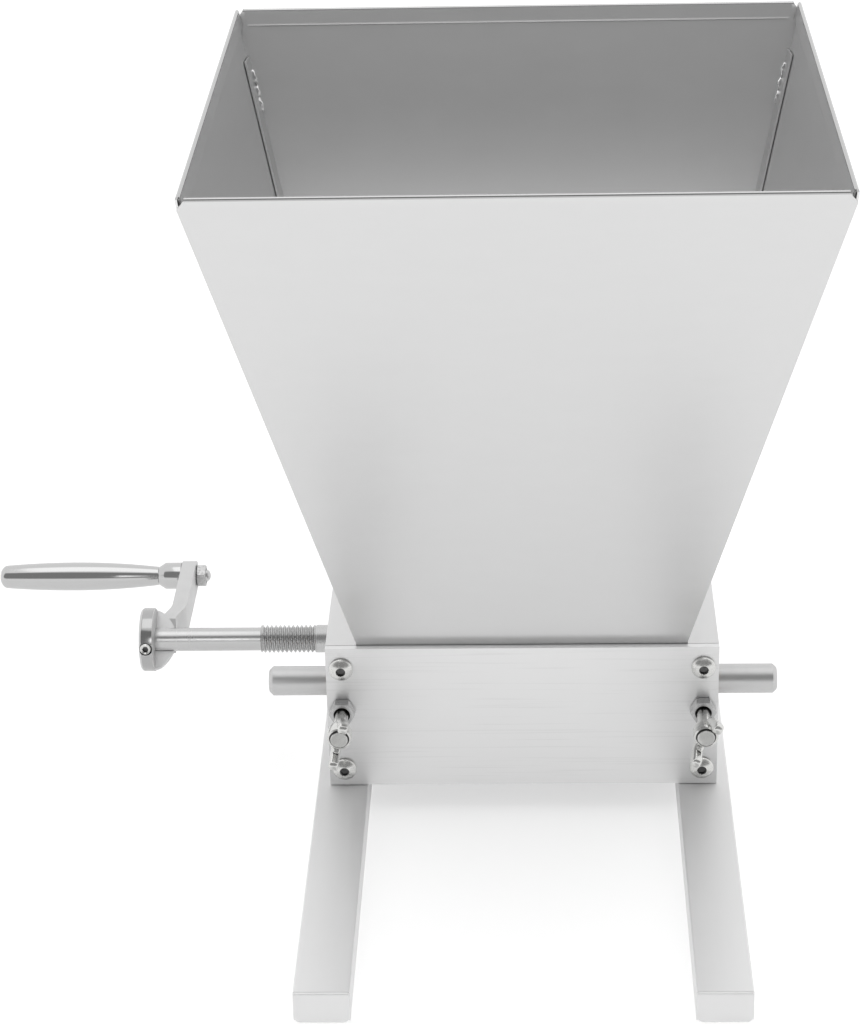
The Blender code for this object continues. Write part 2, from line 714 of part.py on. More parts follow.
def make_bearing_block(side, right, material):
    """Square block that slides in the slot of the side plate, with a lip on its inner side."""
    name = side + "_bearing_block"
    inner, outer = right * (FLANGE_X - FLANGE_THICKNESS), right * SIDE_X
    lip = right * FLANGE_X
    half_length, half_height = BEARING_LENGTH / 2, BEARING_HEIGHT / 2
    shape = bmesh.new()
    add_box(shape, (min(inner, outer), -half_length, -half_height),
            (max(inner, outer), half_length, half_height))
    block = place(from_bmesh(name, shape, material), carriage, (0, IDLER_Y, AXIS_Z))
    plate = bmesh.new()
    add_box(plate, (min(inner, lip), -half_length - BEARING_LIP, -half_height - BEARING_LIP),
            (max(inner, lip), half_length + BEARING_LIP, half_height + BEARING_LIP))
    tool = as_tool(place(from_bmesh(name + "_lip", plate, None, CUTTERS), carriage, (0, IDLER_Y, AXIS_Z)))
    boolean(block, tool, "UNION")
    bore = bmesh.new()
    add_cylinder(bore, (min(inner, outer) - CUT_OVERRUN, 0, 0), (1, 0, 0),
                 IDLER_SHAFT_DIAMETER / 2 + FIT_GAP, abs(outer - inner) + 2 * CUT_OVERRUN, ROUND_STEPS)
    tool = as_tool(place(from_bmesh(name + "_bore", bore, None, CUTTERS), carriage, (0, IDLER_Y, AXIS_Z)))
    boolean(block, tool, "DIFFERENCE")


# Wing screws and lock nuts

def wing_outline(away):
    """One wing: it leaves the boss sideways and bends forward, clear of the boss's flat end."""
    start = WING_BOSS_START
    tip = (WING_REACH, start + WING_BOSS_LENGTH + WING_SWEEP)
    outer = (WING_ELBOW_OUTER[0], start + WING_ELBOW_OUTER[1])
    inner = (WING_ELBOW_INNER[0], start + WING_ELBOW_INNER[1])
    outline = [(WING_ROOT_REACH, start + WING_ROOT_START),
               (WING_BOSS_BASE_DIAMETER / 2, start + WING_ROOT_START), outer]
    outline += arc(tip, WING_TIP_RADIUS, WING_TIP_FROM, WING_TIP_TO, ARC_STEPS)
    outline += [inner, (WING_ROOT_REACH, start + WING_ROOT_END)]
    points = [(away * across, along) for across, along in outline]
    if away < 0:
        points.reverse()
    return points


def make_wing_screw(side, frame, right, angle, material):
    """Thumb screw: shank to the bearing block, a tapered boss and two wings that sweep outwards."""
    name = side + "_wing_screw"
    shank = WING_SCREW_DIAMETER / 2
    base, end = WING_BOSS_BASE_DIAMETER / 2, WING_BOSS_END_DIAMETER / 2
    tip = IDLER_Y - BEARING_LENGTH / 2 - FIT_GAP - FRONT_Y
    start, stop = WING_BOSS_START, WING_BOSS_START + WING_BOSS_LENGTH
    chamfer = shank / 4
    profile = [(0, stop), (end - chamfer, stop), (end, stop - chamfer), (base, start), (shank, start),
               (shank, chamfer - tip), (shank - chamfer, -tip), (0, -tip)]
    screw = turned(name, profile, material, SMALL_STEPS)
    at = (right * SIDE_MIDDLE_X, FRONT_Y, WING_SCREW_Z)
    turn = Matrix.Rotation(angle, 4, "Y") @ Matrix.Rotation(math.pi / 2, 4, "X")
    rotation = turn.to_euler()
    place(screw, frame, at, rotation)
    for away in (-1, 1):
        wing = flat_outline(name + "_wing", wing_outline(away), WING_THICKNESS)
        tool = as_tool(mesh_object(name + "_wing", wing, None, CUTTERS))
        upright = (turn @ Matrix.Rotation(math.pi / 2, 4, "X") @ Matrix.Rotation(math.pi / 2, 4, "Y"))
        place(tool, frame, at, upright.to_euler())
        boolean(screw, tool, "UNION")


def hex_nut(name, width, thickness, hole_diameter, material):
    """Six-sided nut whose corners are turned off at both faces, standing on its own XY plane."""
    corner, flat = width / math.sqrt(3), width / 2
    shape = bmesh.new()
    add_cylinder(shape, (0, 0, 0), (0, 0, 1), corner, thickness, 6)
    nut = from_bmesh(name, shape, material)
    chamfered = turned(name + "_chamfer",
                       [(0, thickness), (flat, thickness), (corner, thickness - NUT_CHAMFER),
                        (corner, NUT_CHAMFER), (flat, 0), (0, 0)],
                       None, SMALL_STEPS + 4, collection=CUTTERS)
    hole = bmesh.new()
    add_cylinder(hole, (0, 0, -CUT_OVERRUN), (0, 0, 1), hole_diameter / 2,
                 thickness + 2 * CUT_OVERRUN, SMALL_STEPS)
    bore = from_bmesh(name + "_bore", hole, None, CUTTERS)
    boolean(nut, as_tool(chamfered), "INTERSECT")
    boolean(nut, as_tool(bore), "DIFFERENCE")
    return [nut, chamfered, bore]


def make_lock_nut(side, frame, right, material):
    hole = WING_SCREW_DIAMETER + 2 * FIT_GAP
    for item in hex_nut(side + "_lock_nut", NUT_WIDTH, NUT_THICKNESS, hole, material):
        place(item, frame, (right * SIDE_MIDDLE_X, FRONT_Y - FIT_GAP, WING_SCREW_Z), (math.pi / 2, 0, 0))


# Crank, spindle and grip

def arm_outline():
    """The arm seen from above: straight at its tip, stepping outboard where it joins the hub."""
    reach = CRANK_RADIUS + ARM_WIDTH / 2
    shift = -ARM_ROOT_OFFSET
    return [(ARM_OUTBOARD_X + shift, 0), (ARM_INBOARD_X + shift, 0), (ARM_INBOARD_X + shift, ARM_BEND_START),
            (ARM_INBOARD_X, ARM_BEND_END), (ARM_INBOARD_X, reach), (ARM_OUTBOARD_X, reach),
            (ARM_OUTBOARD_X, ARM_BEND_END), (ARM_OUTBOARD_X + shift, ARM_BEND_START)]


def hub_profile():
    """The hub's rim, and the flare that rounds in from it towards the shaft."""
    radius = HUB_DIAMETER / 2
    wide, narrow = radius - HUB_CHAMFER, radius - HUB_FLARE
    profile = [(0, NOSE_X)]
    for index in range(ARC_STEPS, 0, -1):
        share = index / ARC_STEPS
        profile.append((wide - (wide - narrow) * share ** HUB_FLARE_POWER, RIM_X + HUB_FLARE * share))
    profile += [(wide, RIM_X), (radius, RIM_X - HUB_CHAMFER), (radius, HUB_END_X + HUB_CHAMFER),
                (wide, HUB_END_X), (0, HUB_END_X)]
    return profile


def make_crank_arm(material):
    """Hub with a half flare behind the shaft and a bar-shaped arm, cut for shaft, spindle and set screw."""
    name = "crank_arm"
    radius = HUB_DIAMETER / 2
    hub = turned(name, hub_profile(), material, FINE_STEPS)
    place(hub, crank_axis, (0, DRIVE_Y, AXIS_Z), TURN_TO_X)

    arm = mesh_object(name + "_bar", flat_outline(name + "_bar", arm_outline(), ARM_WIDTH), None, CUTTERS)
    place(as_tool(arm), crank_axis, (0, DRIVE_Y, AXIS_Z))
    half = ARM_WIDTH / 2
    side_view = arc((CRANK_RADIUS, 0), half, -90, 90, ARM_END_STEPS)
    side_view += arc((0, 0), half, 90, 270, ARM_END_STEPS)
    deep = ARM_THICKNESS + 2 * (ARM_ROOT_OFFSET + CUT_OVERRUN)
    rounding = mesh_object(name + "_rounding", flat_outline(name + "_rounding", side_view, 2 * deep), None,
                           CUTTERS)
    place(as_tool(rounding), crank_axis, (ARM_OUTBOARD_X, DRIVE_Y, AXIS_Z), (math.pi / 2, 0, math.pi / 2))
    boolean(arm, rounding, "INTERSECT")
    boolean(hub, arm, "UNION")

    front = bmesh.new()
    add_box(front, (RIM_X + FIT_GAP, -HUB_DIAMETER, -HUB_DIAMETER), (ARM_INBOARD_X, 0, HUB_DIAMETER))
    tool = as_tool(from_bmesh(name + "_front", front, None, CUTTERS))
    place(tool, crank_axis, (0, DRIVE_Y, AXIS_Z), (-HUB_FACE_TILT, 0, 0))
    boolean(hub, tool, "DIFFERENCE")

    bores = bmesh.new()
    add_cylinder(bores, (HUB_END_X - CUT_OVERRUN, 0, 0), (1, 0, 0), ROD_DIAMETER / 2 + FIT_GAP,
                 ARM_INBOARD_X - HUB_END_X + 2 * CUT_OVERRUN, ROUND_STEPS)
    add_cylinder(bores, (ARM_OUTBOARD_X - CUT_OVERRUN, CRANK_RADIUS, 0), (1, 0, 0),
                 STUD_DIAMETER / 2 + FIT_GAP, ARM_THICKNESS + 2 * CUT_OVERRUN, SMALL_STEPS)
    tool = as_tool(from_bmesh(name + "_bores", bores, None, CUTTERS))
    place(tool, crank_axis, (0, DRIVE_Y, AXIS_Z))
    boolean(hub, tool, "DIFFERENCE")
    pocket = bmesh.new()
    add_cylinder(pocket, (0, 0, 0), (0, 0, 1), SET_SCREW_DIAMETER / 2 + FIT_GAP, radius + CUT_OVERRUN,
                 SMALL_STEPS)
    tool = as_tool(from_bmesh(name + "_set_screw_hole", pocket, None, CUTTERS))
    place(tool, crank_axis, ((HUB_END_X + RIM_X) / 2, DRIVE_Y, AXIS_Z), set_screw_rotation())
    boolean(hub, tool, "DIFFERENCE")


def set_screw_rotation():
    """Turns a local Z axis so that it points forward and a little up, out of the hub's rim."""
    return (math.pi / 2 - SET_SCREW_LIFT, 0, 0)


def make_set_screw(material):
    radius = SET_SCREW_DIAMETER / 2
    outer = HUB_DIAMETER / 2 + SET_SCREW_PROUD
    inner = ROD_DIAMETER / 2 + FIT_GAP
    chamfer = radius / 5
    profile = [(0, outer), (radius - chamfer, outer), (radius, outer - chamfer), (radius, inner + chamfer),
               (radius - chamfer, inner), (0, inner)]
    screw = turned("crank_set_screw", profile, material, SMALL_STEPS)
    tool = socket_tool("crank_set_screw_socket", SET_SCREW_SOCKET_WIDTH, SET_SCREW_SOCKET_DEPTH, outer)
    for item in (screw, tool):
        place(item, crank_axis, ((HUB_END_X + RIM_X) / 2, DRIVE_Y, AXIS_Z), set_screw_rotation())
    boolean(screw, tool, "DIFFERENCE")


def make_spindle(material):
    """Shouldered pin: a stud through the arm, a collar outside it and a plain pin inside the grip."""
    stud, pin, collar = STUD_DIAMETER / 2, SPINDLE_DIAMETER / 2, SPINDLE_COLLAR_DIAMETER / 2
    shoulder = ARM_OUTBOARD_X - FIT_GAP
    stud_end = ARM_INBOARD_X + FIT_GAP + GRIP_NUT_THICKNESS + STUD_DOME
    small = GRIP_NECK_DIAMETER / 2
    pin_end = GRIP_TIP_X + GRIP_BORE_END + FIT_GAP
    profile = [(0, stud_end), (stud / 2, stud_end - STUD_DOME / 4), (stud, stud_end - STUD_DOME),
               (stud, shoulder), (collar, shoulder), (collar, COLLAR_END_X + SPINDLE_COLLAR_TAPER),
               (small, COLLAR_END_X), (pin, COLLAR_END_X), (pin, pin_end), (0, pin_end)]
    spindle = turned("grip_spindle", profile, material, SMALL_STEPS + 4)
    place(spindle, crank_axis, (0, GRIP_Y, AXIS_Z), TURN_TO_X)


def make_grip_nut(material):
    hole = STUD_DIAMETER + 2 * FIT_GAP
    for item in hex_nut("grip_nut", GRIP_NUT_WIDTH, GRIP_NUT_THICKNESS, hole, material):
        place(item, crank_axis, (ARM_INBOARD_X + FIT_GAP, GRIP_Y, AXIS_Z), TURN_TO_X)


def grip_radius(share):
    """Outer radius along the grip, from its tip at 0 to its neck at 1."""
    end, belly, neck = GRIP_END_DIAMETER / 2, GRIP_BELLY_DIAMETER / 2, GRIP_NECK_DIAMETER / 2
    if share < GRIP_BELLY_SHARE:
        ease = 1 - (1 - share / GRIP_BELLY_SHARE) ** 2
        return end + (belly - end) * ease
    ease = ((share - GRIP_BELLY_SHARE) / (1 - GRIP_BELLY_SHARE)) ** 2
    return belly + (neck - belly) * ease


def make_grip(material):
    """Barrel-shaped turned grip, bored from its neck so that it spins on the spindle."""
    bore = GRIP_BORE_DIAMETER / 2
    steps = 2 * ARC_STEPS
    round_share = GRIP_END_ROUNDING / GRIP_LENGTH
    profile = [(bore, GRIP_NECK_X)]
    for index in range(steps + 1):
        share = 1 - (1 - round_share) * index / steps
        profile.append((grip_radius(share), GRIP_TIP_X + GRIP_LENGTH * share))
    edge = grip_radius(round_share)
    for index in range(1, ARC_STEPS):
        angle = math.pi / 2 * index / ARC_STEPS
        profile.append((edge * math.cos(angle), GRIP_TIP_X + GRIP_END_ROUNDING * (1 - math.sin(angle))))
    profile += [(0, GRIP_TIP_X), (0, GRIP_TIP_X + GRIP_BORE_END), (bore, GRIP_TIP_X + GRIP_BORE_END)]
    grip = turned("grip", profile, material, SMALL_STEPS + 4, closed=True)
    shade_round(grip)
    place(grip, grip_axis, (0, GRIP_Y, AXIS_Z), TURN_TO_X)


# Assembly

SIDES = (("left", -1), ("right", 1))
SLOT_FRONT_Y = IDLER_Y - BEARING_LENGTH / 2 - FIT_GAP - OPENING_TRAVEL
SLOT_BACK_Y = IDLER_Y + BEARING_LENGTH / 2 + FIT_GAP + CLOSING_TRAVEL

mill = new_frame("mill_frame", (0, 0, 0))
crank_axis = new_frame("crank_axis", (0, DRIVE_Y, AXIS_Z), mill)
grip_axis = new_frame("grip_axis", (0, GRIP_Y, AXIS_Z), crank_axis)
carriage = new_frame("gap_carriage", (0, IDLER_Y, AXIS_Z), mill)
idler_axis = new_frame("idler_axis", (0, IDLER_Y, AXIS_Z), carriage)

make_hopper()
make_block()
make_rails()

ground_steel = turned_steel()
roller_finish = roller_steel()
make_drive_shaft(ground_steel)
make_idler_shaft(ground_steel)
make_roller("drive_roller", crank_axis, DRIVE_Y, SHAFT_DIAMETER, roller_finish)
make_roller("idler_roller", idler_axis, IDLER_Y, IDLER_SHAFT_DIAMETER, roller_finish)

sliding_bronze = bush_bronze()
plated = zinc_steel()
for side_name, side_sign in SIDES:
    screw_axis = (side_sign * SIDE_MIDDLE_X, FRONT_Y, WING_SCREW_Z)
    wing_axis = new_frame(side_name + "_wing_axis", screw_axis, carriage)
    nut_axis = new_frame(side_name + "_nut_axis", screw_axis, mill)
    tilt = LEFT_WING_ANGLE if side_sign < 0 else RIGHT_WING_ANGLE
    make_bearing_block(side_name, side_sign, sliding_bronze)
    make_wing_screw(side_name, wing_axis, side_sign, tilt, plated)
    make_lock_nut(side_name, nut_axis, side_sign, plated)

crank_finish = cast_crank_steel()
chrome_finish = polished_steel()
make_crank_arm(crank_finish)
make_set_screw(plated)
make_spindle(chrome_finish)
make_grip_nut(plated)
make_grip(chrome_finish)
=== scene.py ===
import math
from types import SimpleNamespace

import bmesh
import bpy
from mathutils import Matrix, Vector, noise


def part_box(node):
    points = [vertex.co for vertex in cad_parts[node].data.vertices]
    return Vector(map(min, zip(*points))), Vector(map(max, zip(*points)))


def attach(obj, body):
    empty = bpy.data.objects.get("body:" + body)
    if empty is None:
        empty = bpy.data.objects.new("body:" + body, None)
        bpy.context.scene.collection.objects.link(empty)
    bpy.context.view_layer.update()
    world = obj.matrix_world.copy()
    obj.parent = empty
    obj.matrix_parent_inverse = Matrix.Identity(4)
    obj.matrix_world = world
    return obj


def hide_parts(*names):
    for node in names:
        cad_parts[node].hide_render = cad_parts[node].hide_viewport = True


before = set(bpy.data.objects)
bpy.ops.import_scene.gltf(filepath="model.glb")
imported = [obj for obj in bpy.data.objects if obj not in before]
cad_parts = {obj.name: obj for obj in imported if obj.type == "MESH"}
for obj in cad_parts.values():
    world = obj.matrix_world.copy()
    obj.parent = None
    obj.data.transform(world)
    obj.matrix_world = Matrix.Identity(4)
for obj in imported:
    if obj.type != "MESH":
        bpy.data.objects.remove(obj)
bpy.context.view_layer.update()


# Foot rails: two long channels that the mill stands on, folded from 1.5 mm stainless sheet
# with a tab turned down at each end, and bead blasted. The folds are tight and the tabs' lower
# corners are rounded off. They are screwed to the side plates from below.

RAIL_SHEET = 0.0015
RAIL_FOLD_RADIUS = 0.0007
TAB_CORNER_RADIUS = 0.003
RAIL_EDGE = 0.00012
TAB_OVERLAP = 0.0001
TAB_RIM = 0.0002
RAIL_SHADES = ("#F4F4F4", "#F7F7F7")


def linear(code):
    """An sRGB hex colour as linear red, green, blue and alpha."""
    shares = [int(code[i:i + 2], 16) / 255 for i in (1, 3, 5)]
    return [c / 12.92 if c <= 0.04045 else ((c + 0.055) / 1.055) ** 2.4 for c in shares] + [1.0]


def add(tree, kind, values=(), links=(), **settings):
    """Adds a node with its settings, socket values and links."""
    made = tree.nodes.new(kind)
    for name, value in settings.items():
        setattr(made, name, value)
    for socket, value in dict(values).items():
        made.inputs[socket].default_value = value
    for socket, source in dict(links).items():
        tree.links.new(source, made.inputs[socket])
    return made


def surface(name, shade, roughness, metallic=1.0):
    """A new material of one shade and roughness, its parts, and the place on it in metres."""
    material = bpy.data.materials.new(name)
    material.use_nodes = True
    tree = material.node_tree
    shader = tree.nodes["Principled BSDF"]
    shader.inputs["Base Color"].default_value = linear(shade)
    shader.inputs["Metallic"].default_value = metallic
    shader.inputs["Roughness"].default_value = roughness
    place = add(tree, "ShaderNodeTexCoord").outputs["Object"]
    return material, tree, shader, place


def ramp(tree, value, span, result=(0.0, 1.0), **settings):
    """A value that runs over one span, brought to another."""
    made = add(tree, "ShaderNodeMapRange", {"From Min": span[0], "From Max": span[1],
                                            "To Min": result[0], "To Max": result[1]},
               {"Value": value}, **settings)
    return made.outputs["Result"]


def relief(tree, shader, height, strength, depth):
    """Bumps on the surface, from a value and its full depth in metres."""
    bump = add(tree, "ShaderNodeBump", {"Strength": strength, "Distance": depth}, {"Height": height})
    tree.links.new(bump.outputs["Normal"], shader.inputs["Normal"])


def tint_between(tree, shader, shades, share):
    """Lets the metal's colour run from the first shade to the second."""
    tint = add(tree, "ShaderNodeMix", {6: linear(shades[0]), 7: linear(shades[1])}, {0: share},
               data_type="RGBA")
    tree.links.new(tint.outputs[2], shader.inputs["Base Color"])


def stretched_noise(tree, place, line, **values):
    """Noise whose spots have the given size in metres along each axis."""
    stretch = add(tree, "ShaderNodeMapping", {"Scale": [1 / s for s in line]}, {"Vector": place})
    spots = add(tree, "ShaderNodeTexNoise", {"Scale": 1.0, **values}, {"Vector": stretch.outputs["Vector"]})
    return spots.outputs["Fac"]


def brush_lines(made, line, length, roughness, depth, shades=None):
    """Fine lines on a new metal: their spacing along each axis in metres, and how rough and deep they are."""
    material, tree, shader, place = made
    lines = stretched_noise(tree, place, line, Detail=3.0, Roughness=0.6)
    cloud = add(tree, "ShaderNodeTexNoise", {"Scale": 1 / length, "Detail": 2.0}, {"Vector": place})
    both = add(tree, "ShaderNodeMath", {1: 0.35}, {0: cloud.outputs["Fac"], 2: lines},
               operation="MULTIPLY_ADD").outputs["Value"]
    tree.links.new(ramp(tree, both, (0.4, 0.95), roughness), shader.inputs["Roughness"])
    relief(tree, shader, lines, 0.5, depth)
    if shades:
        tint_between(tree, shader, shades, both)
    return material


def mesh_object(name, shape, materials=(), sharp=None):
    """A new object with the given mesh. Where an angle is given, all but the sharper edges are smooth."""
    mesh = bpy.data.meshes.new(name)
    shape.to_mesh(mesh)
    shape.free()
    for material in materials:
        mesh.materials.append(material)
    if sharp:
        mesh.shade_smooth()
        mesh.set_sharp_from_angle(angle=math.radians(sharp))
    item = bpy.data.objects.new(name, mesh)
    bpy.context.scene.collection.objects.link(item)
    return item


def piece(name, shape, materials, body, nodes=(), sharp=30):
    """A finished mesh that rides on a body and stands for the CAD nodes that it replaces."""
    bmesh.ops.recalc_face_normals(shape, faces=shape.faces)
    item = mesh_object(name, shape, materials, sharp)
    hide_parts(*nodes)
    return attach(item, body)


def edge_break(item, width, segments=2, angle=30):
    """Breaks an object's sharp edges by a small radius, so that they catch the light."""
    step = item.modifiers.new("edge_break", "BEVEL")
    step.width = width
    step.segments = segments
    step.limit_method = "ANGLE"
    step.angle_limit = math.radians(angle)
    step.harden_normals = True


def quarter(steps):
    """Angles that divide a quarter turn, without its start."""
    return [math.pi / 2 * i / steps for i in range(1, steps + 1)]


def loft(shape, rings):
    """A band of faces between each two rings, and a cap on the first and the last; returns the caps."""
    for one, two in zip(rings, rings[1:]):
        for i in range(len(one)):
            j = (i + 1) % len(one)
            shape.faces.new((one[i], one[j], two[j], two[i]))
    return [shape.faces.new(rings[0]), shape.faces.new(rings[-1])]


def fold_section(low, high, depth, thickness, radius):
    """Section of a folded channel, open below: the outer line and then the inner line back."""
    outer = [(low, 0), (low, depth - radius)]
    outer += [(low + radius * (1 - math.cos(a)), depth - radius * (1 - math.sin(a))) for a in quarter(4)]
    outer += [(low + high - x, z) for x, z in reversed(outer)]
    inner = [(low + thickness, 0), (low + thickness, depth - thickness),
             (high - thickness, depth - thickness), (high - thickness, 0)]
    return outer + inner[::-1]


def foot_rail(side):
    low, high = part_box(side + "_foot_rail")
    section = fold_section(low.x, high.x, high.z, RAIL_SHEET, RAIL_FOLD_RADIUS)
    shape = bmesh.new()
    loft(shape, [[shape.verts.new((x, y, z)) for x, z in section]
                 for y in (low.y + RAIL_SHEET, high.y - RAIL_SHEET)])
    for y, outward in ((low.y, -1), (high.y, 1)):
        end_tab(shape, low.x, high.x, high.z, y, -outward)
    item = piece(side + "_rail", shape, [RAIL_STEEL], "mill", [side + "_foot_rail"], 40)
    edge_break(item, RAIL_EDGE, 1)


def end_tab(shape, left, right, top, face, inward):
    """The turned-down end: its face curves into the rail's top and has rounded lower corners."""
    radius, fold = TAB_CORNER_RADIUS, RAIL_FOLD_RADIUS
    back = face + inward * (RAIL_SHEET - TAB_OVERLAP)
    lower = [(left + radius * (1 - math.cos(a)), radius * (1 - math.sin(a))) for a in (0, *quarter(8))]
    lower += [(left + right - x, z) for x, z in reversed(lower)]
    outline = lower + [(right - TAB_RIM, top - fold), (left + TAB_RIM, top - fold)]
    front = [shape.verts.new((x, face, z)) for x, z in outline]
    rear = [shape.verts.new((x, back, z)) for x, z in outline]
    count = len(outline)
    shape.faces.new(front)
    for i in range(count):
        if i != count - 2:
            j = (i + 1) % count
            shape.faces.new((front[i], front[j], rear[j], rear[i]))
    rows = [(front[-2], front[-1])]
    for i, a in enumerate(quarter(4), 1):
        y = face + inward * fold * (1 - math.cos(a))
        z = top - fold * (1 - math.sin(a))
        taper = TAB_RIM + (fold - TAB_RIM) * i / 4
        rows.append((shape.verts.new((right - taper, y, z)), shape.verts.new((left + taper, y, z))))
    rows.append((shape.verts.new((right - fold, back, top)), shape.verts.new((left + fold, back, top))))
    for a, b in zip(rows, rows[1:]):
        shape.faces.new((a[0], a[1], b[1], b[0]))
    rear_right, rear_left = rear[-2:]
    shape.faces.new([row[0] for row in rows] + [rear_right])
    shape.faces.new([row[1] for row in rows] + [rear_left])
    shape.faces.new([rear_right, rear_left, rows[-1][1], rows[-1][0]])
    shape.faces.new(rear)


# Blasted stainless sheet is fine and even, and too dull for the block to be mirrored in it.
RAIL_STEEL = brush_lines(surface("blasted_stainless_rail", RAIL_SHADES[0], 0.62), (0.0030, 0.030, 0.0030),
                         0.012, (0.58, 0.66), 0.000002, RAIL_SHADES)
foot_rail("left")
foot_rail("right")


# Block: two thick side plates between a front and a back plate, sawn from aluminium bar and
# plate and brushed lengthwise. The edges are only just broken, so they show as thin light
# lines, and single deeper brush marks run across the front.

PLATE_EDGE = 0.00025


def brushed_aluminium(name, line, mark, shades):
    """Brushed aluminium: long fine lines with a few deeper marks, brighter than the steel."""
    made = material, tree, shader, place = surface(name, "#E4E4E4", 0.34)
    brush_lines(made, line, 0.02, (0.36, 0.42), 0.000002)
    marks = stretched_noise(tree, place, mark, Detail=1.0)
    tint_between(tree, shader, shades, ramp(tree, marks, (0.60, 0.72)))
    return material


def dress(node, material, edge=None):
    """Gives a CAD node its material, and breaks its edges where a width is given."""
    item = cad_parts[node]
    item.data.materials.clear()
    item.data.materials.append(material)
    if edge:
        edge_break(item, edge)


FACE_ALUMINIUM = brushed_aluminium("brushed_aluminium_face", (0.050, 0.004, 0.00060),
                                   (0.060, 0.02, 0.0009), ("#EEEEEE", "#E9E9E9"))
SIDE_ALUMINIUM = brushed_aluminium("brushed_aluminium_side", (0.004, 0.050, 0.00060),
                                   (0.02, 0.060, 0.0009), ("#E2E2E2", "#DADADA"))
for plate in ("front_plate", "back_plate"):
    dress(plate, FACE_ALUMINIUM, PLATE_EDGE)
for side in ("left", "right"):
    dress(side + "_side_plate", SIDE_ALUMINIUM, PLATE_EDGE)


# Button-head screws: M6 machine screws of nickel-bright plated steel, four in each face plate.
# The domed head is cold formed, with a hexagon socket whose mouth is countersunk.

SOCKET_HALF_FLAT = 0.00175
SOCKET_DEPTH = 0.0021
SOCKET_CONE = 0.25
HEAD_FALL = 0.78
HEAD_STEPS = 48
HEAD_EDGE = 0.00025
SHANK_CHAMFER = 0.0006
M6_SHARES = (0.552, 0.629)
M5_SHARES = (0.522, 0.587)


def hexagon(half_flat):
    """Radius of a hexagon in each direction."""
    def radius(angle):
        off = (angle % (math.pi / 3)) - math.pi / 6
        return half_flat / math.cos(off)
    return radius


def lathe(shape, stations, steps, place, closed=False):
    """Turns (height, radius) stations about Z; each may also be a function of the angle."""
    rings = []
    for height, radius in stations:
        ring = []
        for i in range(1 if radius == 0 else steps):
            a = 2 * math.pi * i / steps
            r = radius(a) if callable(radius) else radius
            z = height(a) if callable(height) else height
            ring.append(shape.verts.new(place @ Vector((r * math.cos(a), r * math.sin(a), z))))
        rings.append(ring)
    pairs = list(zip(rings, rings[1:]))
    if closed:
        pairs.append((rings[-1], rings[0]))
    for one, two in pairs:
        for i in range(steps):
            j = (i + 1) % steps
            corners = (one[i % len(one)], one[j % len(one)], two[j % len(two)], two[i % len(two)])
            corners = list(dict.fromkeys(corners))
            if len(corners) > 2:
                shape.faces.new(corners)


def grain(made, size, detail, roughness=None, span=(0.3, 0.7), bump=None, shades=None):
    """A fine grain on a new metal: how it varies the roughness, the height and the shade."""
    material, tree, shader, place = made
    spots = add(tree, "ShaderNodeTexNoise", {"Scale": 1 / size, "Detail": detail}, {"Vector": place})
    spots = spots.outputs["Fac"]
    if roughness:
        tree.links.new(ramp(tree, spots, span, roughness), shader.inputs["Roughness"])
    if bump:
        relief(tree, shader, spots, *bump)
    if shades:
        tint_between(tree, shader, shades, spots)
    return material


def plated_steel(name, shade, roughness):
    """Bright plating on formed steel: nearly a mirror, clouded by the formed surface under it."""
    return grain(surface(name, shade, roughness), 0.0009, 3.0, (roughness * 0.7, roughness * 1.4),
                 (0.35, 0.65), (0.35, 0.00004))


def painted_shade_faces(shape, place, radius, low, high):
    """Gives the second material, the painted shade of a recess, to the faces near the axis that lie between
    two heights.
    """
    back = place.inverted()
    for face in shape.faces:
        middle = back @ face.calc_center_median()
        if math.hypot(middle.x, middle.y) < radius and low < middle.z < high:
            face.material_index = 1


def button_screw(node, half_socket, depth):
    """One screw in place of its CAD node, with its head on the end that shows."""
    low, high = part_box(node)
    from_below = node.startswith("rail")
    head_radius = (high.x - low.x) / 2
    length = high.z - low.z if from_below else high.y - low.y
    shank, head = (head_radius * share for share in (M5_SHARES if from_below else M6_SHARES))
    spot = (low + high) / 2
    turn = math.pi / 2
    if from_below:
        spot.z = low.z + head
        turn = math.pi
    elif node.startswith("front"):
        spot.y = low.y + head
    else:
        spot.y = high.y - head
        turn = -math.pi / 2
    place = Matrix.Translation(spot) @ Matrix.Rotation(turn, 4, "X")
    fall = head * HEAD_FALL
    ball = (head_radius ** 2 + fall ** 2) / (2 * fall)
    mouth, edge = half_socket * 1.19, head_radius * 0.985

    def dome(r):
        return head - ball + math.sqrt(ball ** 2 - r ** 2)

    profile = [(head - depth - half_socket * SOCKET_CONE, 0), (head - depth, hexagon(half_socket)),
               (dome(mouth) - half_socket * 0.14, hexagon(half_socket))]
    profile += [(dome(r), r) for r in (mouth + (edge - mouth) * i / 8 for i in range(9))]
    end = head - length
    profile += [(dome(edge) - head * 0.05, head_radius), (HEAD_EDGE, head_radius),
                (0, head_radius - HEAD_EDGE), (0, shank), (end + SHANK_CHAMFER, shank),
                (end, shank - SHANK_CHAMFER), (end, 0)]
    shape = bmesh.new()
    lathe(shape, profile, HEAD_STEPS, place)
    # The socket is darkened with painted shade.
    painted_shade_faces(shape, place, half_socket * 1.12, head - depth - half_socket * 0.3, head)
    piece(node + ("_m5" if from_below else "_m6"), shape, [SCREW_STEEL, RECESS_SHADE_STEEL], "mill",
          [node], 35)


SCREW_STEEL = plated_steel("bright_plated_steel", "#DCDCDA", 0.23)
# The insides of sockets and bores, and the groove in the wing screws' end face, get a dull dark steel:
# painted shade for recesses where little light falls.
RECESS_SHADE_STEEL = surface("painted_shade_recess_steel", "#6A6A6A", 0.4)[0]
for face in ("front", "back"):
    for level in ("upper", "lower"):
        for side in ("left", "right"):
            button_screw("%s_screw_%s_%s" % (face, level, side), SOCKET_HALF_FLAT, SOCKET_DEPTH)


# Rail screws: M5 screws of the same kind and plating as the ones in the face plates. They go up
# through the rails into the side plates, so their heads lie inside the channel.

